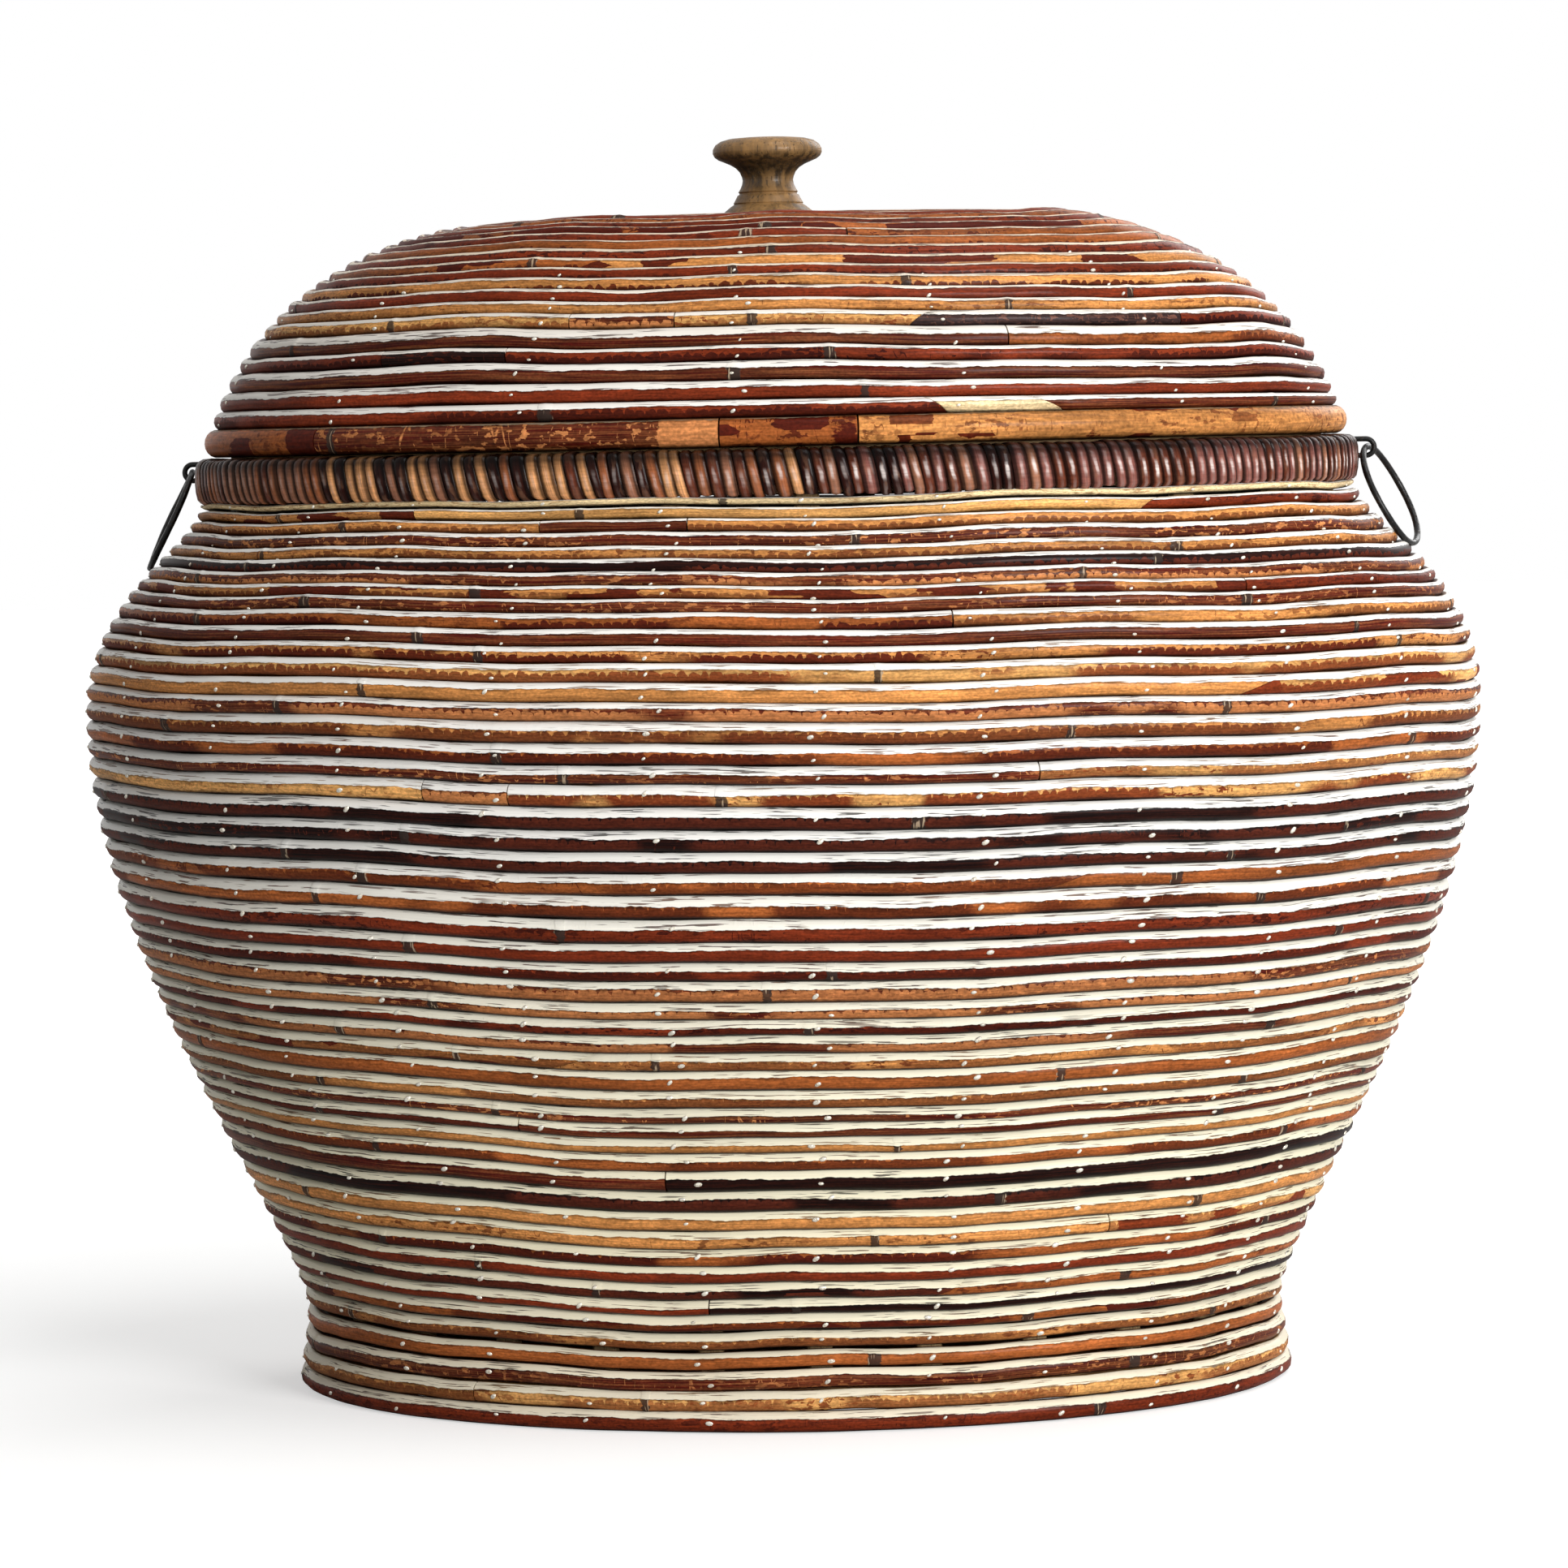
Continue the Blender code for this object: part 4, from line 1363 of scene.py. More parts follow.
@dataclass
class BasketBody:
    """The body of the basket: its canes, nails, ribs and bottom board."""

    finishes: "Finishes"
    foot_half: float = 0.168
    foot_upright: float = 0.010
    waist_half: float = 0.165
    waist_height: float = 0.027
    waist_upright: tuple[float, float] = (0.008, 0.0217)
    belly_half: float = 0.235
    belly_height: float = 0.2286
    belly_upright: tuple[float, float] = (0.0831, 0.0409)
    neck_half: float = 0.194
    neck_height: float = 0.2995
    neck_upright: float = 0.0123
    board_top: float = 0.018
    rib_thick: float = 0.004
    gap: float = 0.0003
    rib_count: int = 24
    seed: int = 11
    nail_seed: int = 21
    # the lowest course first: how thick each cane is, in millimetres, band by band
    pitches: tuple[tuple[str, float, tuple[float, ...]], ...] = (
        ("foot_courses", 0.0065, (7.0, 6.5, 6.2, 5.4, 5.3)),
        ("lower_courses", 0.0065, (5.7, 5.3, 5.9, 6.4, 6.4, 6.7, 7.0, 7.6, 7.6, 6.5, 5.8)),
        ("middle_courses", 0.0062, (5.0, 5.2, 6.0, 6.8, 6.0, 6.0, 5.4, 5.6, 7.0, 6.0)),
        ("belly_courses", 0.0072, (6.9, 8.3, 8.1, 7.4, 7.2, 7.2, 7.6, 7.4, 6.2)),
        (
            "shoulder_courses",
            0.0057,
            (7.0, 7.2, 6.4, 6.8, 6.8, 6.0, 6.2, 6.4, 5.5, 5.4, 6.2, 5.8, 5.9, 6.4, 5.1, 4.1, 2.4),
        ),
    )
    joints: tuple[Joint, ...] = Joint.table(
        (1, -0.58, "G"), (6, -0.10, "K"), (7, 0.35, "R", 2.0), (10, 0.62, "G"), (13, -0.15, "K"),
        (16, -0.38, "D"), (20, -0.28, "T", 3.0), (29, 0.45, "R", 3.0), (33, -0.43, "D"), (33, -0.31, "G"),
        (34, 0.40, "G"), (38, 0.70, "G", 3.0), (42, 0.30, "T"), (44, 0.72, "M"), (49, -0.32, "D"),
        (49, -0.08, "T"), (50, -0.54, "G"), (50, 0.66, "M", 2.0),
    )

    def line(self) -> SideLine:
        """The side line of the wall, whose handles stand upright under and over each of its levels.

        Returns:
            The line.
        """
        levels = (
            (self.foot_half, 0.0, 0.0, self.foot_upright),
            (self.waist_half, self.waist_height, *self.waist_upright),
            (self.belly_half, self.belly_height, *self.belly_upright),
            (self.neck_half, self.neck_height, self.neck_upright, 0.0),
        )
        stretches = []
        for (half, height, _, over), (next_half, next_height, under, _) in zip(levels, levels[1:]):
            upper = ((next_half, next_height - under), (next_half, next_height))
            stretches.append(((half, height), (half, height + over), *upper))
        return SideLine(*stretches)

    def wall(self) -> CaneWall:
        """The wall of canes.

        Returns:
            The wall, ready to build.
        """
        line = self.line()
        shares = [share * len(canes) for _, share, canes in self.pitches]
        edges = laid(shares) * line.length / sum(shares)
        bands = CaneBand.stack("body", [(node, canes) for node, _, canes in self.pitches], edges)
        style = CourseStyle(
            letters="MTDRTRMKMRTTKDRTKDTRTDMDDMMMRRKKKGDRTDTGTDRDTDKTDTTC",
            # the painted highlight's color and its share of each course, up the wall
            tints=(
                (0.0, (0.87, 0.79, 0.62)),
                (0.18, (0.89, 0.82, 0.60)),
                (0.42, (0.88, 0.83, 0.66)),
                (0.62, (0.91, 0.89, 0.84)),
                (1.0, (0.91, 0.88, 0.82)),
            ),
            shares=(
                (0.0, 0.38), (0.1, 0.46), (0.3, 0.47), (0.6, 0.46),
                (0.7, 0.45), (0.8, 0.40), (0.98, 0.40), (1.0, 0.80),
            ),
        )
        drift = Drift.table(
            (0.0, 0.0, 0.0), (0.020, 0.0, 0.0), (0.050, -0.0022, 0.0030), (0.110, -0.0033, 0.0048),
            (0.150, -0.0036, 0.0038), (0.185, -0.0039, 0.0021), (0.240, -0.0042, 0.0003),
            (0.295, -0.0036, 0.0), (line.length, 0.0, 0.0),
        )
        return CaneWall(line, bands, style, self.joints, drift, self.seed)

    def ribs(self, line: SideLine, cane: float) -> list[tuple[Oval, Oval]]:
        """The faces of the ribs.

        Args:
            line: The wall's side line.
            cane: The wall's thickness.

        Returns:
            The outer and inner oval at each station.
        """
        floor = self.board_top + self.gap
        pairs = []
        for distance in np.linspace(0.0, line.length, 60):
            depths = (cane + self.gap, cane + self.gap + self.rib_thick)
            pair = tuple(line.oval(float(distance), depth) for depth in depths)
            if min(oval.height for oval in pair) > floor:
                pairs.append(pair)
        return [tuple(Oval(oval.half_length, oval.half_depth, floor) for oval in pairs[0])] + pairs[1:]

    def build(self) -> None:
        """Build all pieces."""
        wall = self.wall()
        wall.build(self.finishes.cane)
        Nails(wall, self.rib_count, "body_nails", "body", self.nail_seed).build(self.finishes.nail)
        nodes = [f"body_rib_{number:02}" for number in range(1, self.rib_count + 1)]
        Ribs("body_ribs", "body", nodes, self.ribs(wall.line, wall.cane)).build(self.finishes.split_cane)
        dress("bottom_board", self.finishes.board)


@dataclass
class Rim:
    """The rim: a hoop bound with wraps of flat cane that lean to the right."""

    finishes: "Finishes"
    half: float = 0.1955
    inner_half: float = 0.1840
    base: float = 0.2998
    top: float = 0.3140
    neck_half: float = 0.194
    wraps: int = 256
    lean: float = math.radians(12)
    stray: float = math.radians(2.5)  # how far single wraps lean otherwise
    thick: float = 0.0012
    hang: float = 0.0011  # how far the wraps' outer ends hang below the hoop
    tuck: int = 78  # degrees below the level at which a wrap's outer end starts
    sweep: int = 336  # degrees that it goes round the hoop
    steps: int = 18
    hoop_steps: int = 192
    seed: int = 5

    def oval(self, half: float | np.ndarray) -> tuple[float | np.ndarray, float | np.ndarray]:
        """Half the length and depth of an oval that runs parallel to the neck."""
        return half, self.neck_half * OVAL_RATIO + half - self.neck_half

    def path(self) -> np.ndarray:
        """The line that the outer face of a wrap follows across the rim, as half lengths and heights.

        Returns:
            Points from the foot of the outer side over the top to the foot of the inner side.
        """
        middle = (self.half + self.inner_half) / 2
        reach = (self.half - self.inner_half) / 2
        tall = self.top - self.base
        points = []
        for step in range(self.steps + 1):
            turn = math.radians(-self.tuck + self.sweep * step / self.steps)
            cos, sin = math.cos(turn), math.sin(turn)
            out = math.copysign(abs(cos) ** 0.55, cos) * reach
            rise = math.copysign(abs(sin) ** 0.6, sin) * tall / 2
            points.append((middle + out, self.base + tall / 2 + rise - (self.hang if step < 3 else 0.0)))
        return np.array(points)

    def color(self, angle: float, number: int, rng: np.random.Generator) -> Color:
        """A wrap's stain: dark and tan in turn on the left and in the middle, purple brown on the right.

        Args:
            angle: Where it is round the oval.
            number: Its number.
            rng: Draws the stain.

        Returns:
            The color.
        """
        black, coffee = srgb(44, 17, 11), srgb(94, 46, 30)
        tan, brown = srgb(206, 146, 96), srgb(150, 88, 55)
        plum, umber = srgb(126, 76, 67), srgb(148, 98, 74)
        side = math.cos(angle)
        draw = float(rng.uniform(0.0, 1.0))
        if side > 0.1:
            near, far = (black, plum, umber, coffee, plum), (plum, plum, umber, coffee, plum, coffee)
            choices = far if side > 0.45 else near
        elif side > -0.72:
            choices = (black, coffee, black, coffee, tan) if number % 2 else (tan, brown, tan, tan, umber)
        else:
            choices = (umber, brown, umber, coffee, brown)
        color = choices[int(draw * len(choices))]
        gain = 1.0 + 0.14 * float(rng.uniform(-1.0, 1.0))
        return tuple(part * gain for part in color)

    def build(self) -> None:
        """Build the wraps and the hoop."""
        rng = np.random.default_rng(self.seed)
        skin = Skin("rim_wraps")
        path = self.path()
        step = unit(np.gradient(path, axis=0))
        outward = np.stack([step[:, 1], -step[:, 0]], axis=1)
        outer = Oval(*self.oval(self.half), 0.0)
        angles, runs = outer.runs()
        around = outer.around()
        widths = rng.uniform(0.78, 1.22, self.wraps)
        edges = laid(widths) * around / widths.sum()
        across = np.array([-0.5, -0.46, -0.26, 0.0, 0.26, 0.46, 0.5, 0.40, -0.40])
        crown = np.array([-0.66, -0.40, -0.13, 0.0, -0.13, -0.40, -0.66, -0.92, -0.92]) * self.thick
        for number in range(self.wraps):
            width = edges[number + 1] - edges[number]
            middle = (edges[number + 1] + edges[number]) / 2
            slope = math.tan(self.lean + self.stray * rng.uniform(-1.0, 1.0))
            shift = (self.base + self.top) / 2 - path[:, 1]
            puff = 0.00026 * rng.uniform(-1.0, 1.0)
            sag = 0.0006 * rng.uniform(-1.0, 1.0)
            at_run = middle + shift * slope
            grid = np.zeros((len(path), len(across), 3))
            for column, (side, deep) in enumerate(zip(across, crown)):
                at = np.interp((at_run + side * width * 1.04) % around, runs, angles)
                half, height = (path + outward * (deep + puff)).T
                half, depth = self.oval(half)
                grid[:, column] = np.stack([half * np.cos(at), depth * np.sin(at), height], axis=1)
            grid[0, :, 2] += sag
            run = run_map(distances(path), np.append(across, across[0]) * width)
            angle = float(np.interp(middle, runs, angles))
            stain = self.color(angle, number, rng)
            # a painted highlight on each wrap: stronger towards the right end, where the key light falls, at
            # a drawn height
            painted_highlight_gain = 0.25 + 0.7 * max(0.0, min(1.0, 0.5 + 2.0 * math.cos(angle)))
            shine = (painted_highlight_gain * float(rng.uniform(0.35, 1.0)), float(rng.uniform(0.0070, 0.0095)), 0.0, 1.0)
            skin.add(grid, run, {"stain": (*stain, float(rng.uniform())), "shine": shine})
        keep(skin.build(self.finishes.binding, math.radians(50)), "body", "binding_cane", "rim_binding")
        section = [
            (self.half - 0.0028, self.base),
            (self.half - 0.0026, self.top - 0.0046),
            (self.half - 0.0044, self.top - 0.0020),
            (self.inner_half + 0.0034, self.top - 0.0020),
            (self.inner_half + 0.0018, self.top - 0.0040),
            (self.inner_half + 0.0018, self.base),
        ]
        keep(self.hoop("rim_core", section).build(self.finishes.split_cane), "body", STRAW, "rim_hoop")

    def hoop(self, name: str, section: Sequence[tuple[float, float]]) -> Skin:
        """A closed band of a section that runs parallel to the neck.

        Args:
            name: The piece's name.
            section: Its corners, as half lengths and heights, anticlockwise from the foot of its outer side.

        Returns:
            The skin.
        """
        skin = Skin(name)
        turns = np.linspace(0.0, math.tau, self.hoop_steps + 1)
        grid = np.zeros((len(turns), len(section), 3))
        for column, (half, height) in enumerate(section):
            half, depth = self.oval(half)
            grid[:, column, 0], grid[:, column, 1] = half * np.cos(turns), depth * np.sin(turns)
            grid[:, column, 2] = height
        around = turns * self.half * 0.86  # a circle as long as the oval
        skin.add(grid, run_map(around, distances(np.array([*section, section[0]]))), {}, caps=False)
        return skin


class UprightLine(SideLine):
    """A short upright side line whose ovals run parallel to the neck."""

    def __init__(self, rim: Rim, half: float, low: float, high: float) -> None:
        """Draw the line.

        Args:
            rim: The rim, which knows how ovals run parallel to the neck.
            half: Half the length of its ovals.
            low, high: The heights where it starts and ends.
        """
        third = (high - low) / 3
        super().__init__([(half, low + third * step) for step in range(4)])
        self.extra_depth = rim.oval(half)[1] - half * OVAL_RATIO

    def read(self, distance: np.ndarray, depth: float = 0.0) -> Ovals:
        """Ovals at distances along the line, as those of any side line, but parallel to the neck."""
        half_length, half_depth, height, tip = super().read(distance, depth)
        return half_length, half_depth + self.extra_depth, height, tip


@dataclass
class Lid:
    """The lid: a thick edge cane, the domed courses, the flat top, collar, ribs and crown board."""

    finishes: "Finishes"
    rim: Rim
    edge_half: float = 0.192
    edge_thick: float = 0.0085
    edge_tall: float = 0.0095
    bottom: float = 0.3143
    top: float = 0.390
    half: float = 0.1895
    shoulder_half: float = 0.1686
    shoulder_drop: float = 0.006
    top_half: float = 0.1013
    top_reach: float = 0.004
    collar_drop: float = 0.011
    collar_thick: float = 0.003
    collar_play: float = 0.0008
    crown_half_depth: float = 0.034
    crown_play: float = 0.0012
    gap: float = 0.0003
    cane: float = 0.0066
    rib_thick: float = 0.004
    rib_count: int = 14
    seed: int = 47
    nail_seed: int = 23
    edge_seed: int = 61
    top_seed: int = 67
    # where the painted highlight lies on the edge cane and the flat top, in turns, its strength, and its
    # color
    edge_gloss: tuple[tuple[float, float, float], Color] = ((0.15, 0.19, 0.35), (0.76, 0.60, 0.40))
    top_gloss: tuple[tuple[float, float, float], Color] = ((0.17, 0.24, 0.75), (0.80, 0.64, 0.52))
    top_lean: float = 0.25  # in turns: the flat top looks straight up
    sides: int = 14
    pitches: tuple[tuple[str, tuple[float, ...]], ...] = (
        ("lid_side_courses", (6.4, 6.6, 7.0, 5.6, 8.0, 6.2, 5.4, 5.9, 6.0)),
        ("lid_shoulder_courses", (5.6, 6.4, 7.0, 6.6, 7.2, 6.4, 6.4, 6.8, 6.4)),
    )
    joints: tuple[Joint, ...] = Joint.table(
        (0, 0.33, "C", -1.5), (0, 0.51, "D", -2.5), (3, -0.66, "K"), (3, -0.42, "M"), (4, 0.48, "R"),
        (5, -0.32, "D"), (5, -0.12, "G"), (5, 0.34, "S", 1.6), (5, 0.80, "M"), (10, -0.30, "T", 3.0),
        (13, 0.25, "R"),
    )

    def line(self) -> SideLine:
        """The side line of the dome.

        Returns:
            The line.
        """
        low = self.bottom + self.edge_tall + self.gap
        return SideLine(
            (
                (self.half, low),
                (self.shoulder_half, self.top - self.shoulder_drop),
                (self.top_half + self.top_reach, self.top),
                (self.top_half, self.top),
            )
        )

    def wall(self) -> CaneWall:
        """The dome's canes.

        Returns:
            The wall, ready to build.
        """
        line = self.line()
        bands = CaneBand.stack("lid", self.pitches, (0.0, line.length / 2, line.length))
        style = CourseStyle(
            letters="MMDMDGTMTMRMRMRMRM",
            # the painted highlight's color and its share of each course, up the dome
            tints=(
                (0.0, (0.89, 0.86, 0.80)),
                (0.35, (0.88, 0.82, 0.73)),
                (0.6, (0.90, 0.76, 0.58)),
                (1.0, (0.90, 0.72, 0.54)),
            ),
            shares=((0.0, 0.42), (0.3, 0.37), (0.5, 0.31), (0.7, 0.29), (1.0, 0.27)),
        )
        drift = Drift.table(
            (0.0, 0.0, 0.0), (0.012, -0.0020, -0.0012), (0.030, -0.0026, -0.0008), (0.055, -0.0023, -0.0004),
            (0.080, -0.0012, 0.0), (line.length, 0.0, 0.0),
        )
        return CaneWall(line, bands, style, self.joints, drift, self.seed)

    def build(self) -> None:
        """Build all pieces."""
        wall = self.wall()
        wall.build(self.finishes.cane)
        Nails(wall, self.rib_count, "lid_nails", "lid", self.nail_seed).build(self.finishes.nail)
        self.edge()
        self.flat_top()
        outer = self.rim.inner_half - self.collar_play
        inner = outer - self.collar_thick
        low, high = self.bottom - self.collar_drop, self.bottom + self.edge_tall
        skin = self.rim.hoop("lid_collar_hoop", [(outer, low), (outer, high), (inner, high), (inner, low)])
        keep(skin.build(self.finishes.split_cane, SOFT_EDGE), "lid", STRAW, "lid_collar")
        nodes = [f"lid_rib_{number:02}" for number in range(1, self.rib_count + 1)]
        Ribs("lid_ribs", "lid", nodes, self.ribs(wall.line)).build(self.finishes.split_cane)
        dress("lid_crown_board", self.finishes.board)

    def ribs(self, line: SideLine) -> list[tuple[Oval, Oval]]:
        """The faces of the ribs, from the lid's edge to the crown board.

        Args:
            line: The dome's side line.

        Returns:
            The outer and inner oval at each station.
        """
        depths = (self.cane + self.gap, self.cane + self.gap + self.rib_thick)
        stations = np.linspace(0.008, line.length, 24)
        pairs = [tuple(line.oval(float(distance), depth) for depth in depths) for distance in stations]
        half_depth = self.crown_half_depth + self.crown_play
        half_length = self.top_half * (1 - OVAL_RATIO) + half_depth
        pairs.append(tuple(Oval(half_length, half_depth, self.top - depth) for depth in depths))
        return pairs

    def edge(self) -> None:
        """Bend the thick cane along the lid's edge."""
        picker = CanePicker(self.edge_seed)
        skin = Skin("lid_edge_cane")
        half = self.edge_half
        line = UprightLine(self.rim, half, self.bottom, self.bottom + self.edge_tall)
        out = Ripples((Ripple(self.edge_seed + 1, 0.0003, (2, 3, 7, 12), 0.0),))
        up = Ripples((Ripple(self.edge_seed + 2, 0.00012, (3, 5), 0.0),))
        still = Drift.table((0.0, 0.0, 0.0), (1.0, 0.0, 0.0))
        bender = Bender(skin, line, still, 0.0, self.edge_tall, out, up, self.edge_thick, sides=18)
        stops = (
            (FRONT - 1.9, "R", (0.6, 0.0, 0.45)),
            (FRONT - 0.83, "D", (0.9, 0.0, 0.3)),
            (FRONT - 0.03, "R", (0.9, 0.0, 0.4)),
            (FRONT + 0.2, "T", (0.7, 0.0, 0.32)),
            (FRONT + 1.6, "T", (0.5, 0.3, 0.4)),
            (FRONT + 3.2, "R", (0.5, 0.0, 0.4)),
            (FRONT - 1.9 + math.tau, "T", (0.0, 0.0, 0.0)),
        )
        gap = 0.0003 / half
        for (start, letter, mottle), (end, _, _) in zip(stops, stops[1:]):
            look = replace(picker.look(STAIN_LETTERS[letter], *self.edge_gloss), mottle=mottle, gain=1.0)
            bender.bend(start + gap, end - gap, self.edge_thick / 2, look, (0.0, 0.0))
        keep(skin.build(self.finishes.cane), "lid", "round_cane", "lid_edge_course")

    def flat_top(self) -> None:
        """Lay the rings of cane of the flat top, which close on a straight one under the knob."""
        picker = CanePicker(self.top_seed)
        skin = Skin("lid_top_canes")
        half_depth = self.top_half * OVAL_RATIO - self.gap
        rings = int(half_depth / self.cane)
        core = half_depth - rings * self.cane
        for number in range(rings):
            inset = (number + 0.5) * self.cane
            length, depth = self.top_half - self.gap - inset, half_depth - inset
            start = float(picker.rng.uniform(0.0, math.tau))
            look = picker.look(picker.stain(), *self.top_gloss, lean=self.top_lean)
            self.ring(skin, length, depth, start, look)
        length = self.top_half - self.gap - rings * self.cane - core
        look = picker.look(Stain.CHESTNUT, *self.top_gloss, lean=self.top_lean)
        self.rod(skin, length, core, look)
        keep(skin.build(self.finishes.cane), "lid", "round_cane", "lid_top_courses")

    def ring(self, skin: Skin, length: float, depth: float, start: float, look: CaneLook) -> None:
        """One ring of the flat top: an oval that turns into a long round-ended loop towards the middle.

        Args:
            skin: Takes it.
            length: Half its length.
            depth: Half its depth.
            start: The angle of its joint.
            look: What it looks like.
        """
        share = 1.0 - depth / (self.top_half * OVAL_RATIO)
        at = np.linspace(start + 0.004, start + math.tau - 0.004, 140)
        straight = (length - depth) * np.tanh(2.6 * np.cos(at)) / math.tanh(2.6) + depth * np.cos(at)
        x = (1.0 - share) * length * np.cos(at) + share * straight
        middle = np.stack([x, depth * np.sin(at)], axis=1)
        self.lay(skin, middle, distances(middle), self.cane / 2 * 0.99, np.ones(len(at)), look)

    def rod(self, skin: Skin, length: float, core: float, look: CaneLook) -> None:
        """The straight cane in the middle of the flat top, with rounded ends.

        Args:
            skin: Takes it.
            length: Half its length.
            core: Half its width.
            look: What it looks like.
        """
        x = -length * np.cos(np.linspace(0.0, math.pi, 33))
        past = np.clip((np.abs(x) - (length - core)) / core, 0.0, 0.995)
        middle = np.stack([x, np.zeros_like(x)], axis=1)
        self.lay(skin, middle, x, core - 0.0002, np.sqrt(1.0 - past**2), look)

    def lay(
        self,
        skin: Skin,
        middle: np.ndarray,
        along: np.ndarray,
        half: float,
        taper: np.ndarray,
        look: CaneLook,
    ) -> None:
        """Lay a cane level on the flat top.

        Args:
            skin: Takes it.
            middle: The line that it follows, as lengths and depths.
            along: The distance along it at each point, for the map.
            half: Half its width.
            taper: How thick it is at each point, as a share of the whole.
            look: What it looks like.
        """
        radius = self.cane / 2
        step = unit(np.gradient(middle, axis=0))
        turn = np.linspace(-math.pi, math.pi, self.sides + 1)
        spread = np.cos(turn) * half * taper[:, None]
        grid = np.zeros((len(middle), len(turn), 3))
        grid[..., 0] = middle[:, 0:1] + step[:, 1:2] * spread
        grid[..., 1] = middle[:, 1:2] - step[:, 0:1] * spread
        grid[..., 2] = self.top - radius + np.sin(turn) * radius * taper[:, None]
        skin.add(grid[:, :-1], run_map(along, turn / math.tau), look.tints())


@dataclass
class Knob:
    """The turned knob on the lid."""

    finishes: "Finishes"
    foot: float = 0.3903
    tall: float = 0.0270
    steps: int = 72
    # radii and heights over the foot, in millimetres, from the top down and up into the screw's hole
    profile: tuple[tuple[float, float], ...] = (
        (0.0, 27.0), (9.0, 26.95), (13.0, 26.6), (15.6, 25.9), (17.4, 24.7), (18.25, 23.2), (18.3, 21.9),
        (17.7, 20.7), (16.5, 19.8), (14.6, 19.0), (12.5, 18.1), (10.7, 17.0), (9.4, 15.6), (8.7, 14.0),
        (8.45, 12.8), (8.7, 11.4), (9.3, 10.0), (10.0, 8.9), (9.6, 8.45), (9.7, 8.1), (10.3, 7.8),
        (10.6, 7.2), (11.1, 6.2), (11.7, 5.2), (11.5, 4.9), (11.8, 4.6), (12.6, 4.1), (13.6, 3.3),
        (14.7, 2.4), (15.8, 1.2), (16.6, 0.2), (16.5, 0.0), (2.35, 0.0), (2.35, 10.2), (0.0, 10.3),
    )

    def build(self) -> None:
        """Turn the knob, and dress the screw and washer that hold it."""
        mesh = bpy.data.meshes.new("turned_knob")
        points = [(radius * MILLIMETRE, 0.0, height * MILLIMETRE) for radius, height in self.profile]
        mesh.from_pydata(points, [(i, i + 1) for i in range(len(points) - 1)], [])
        knob = shown("turned_knob", mesh)
        lathe = knob.modifiers.new("lathe", "SCREW")
        lathe.steps = lathe.render_steps = self.steps
        lathe.use_merge_vertices = True
        lathe.merge_threshold = 0.00002
        lathe.use_smooth_shade = True
        solid = bpy.data.meshes.new_from_object(knob.evaluated_get(bpy.context.evaluated_depsgraph_get()))
        solid.name = "turned_knob"
        knob.modifiers.clear()
        knob.data = solid
        solid.transform(Matrix.Translation((0.0, 0.0, self.foot)))
        solid.shade_smooth()
        solid.set_sharp_from_angle(angle=math.radians(50))
        solid.materials.clear()
        solid.materials.append(self.finishes.turned_wood)
        keep(knob, "lid", "turned_wood", "knob")
        dress("knob_washer", self.finishes.steel)
        dress("knob_screw", self.finishes.steel)


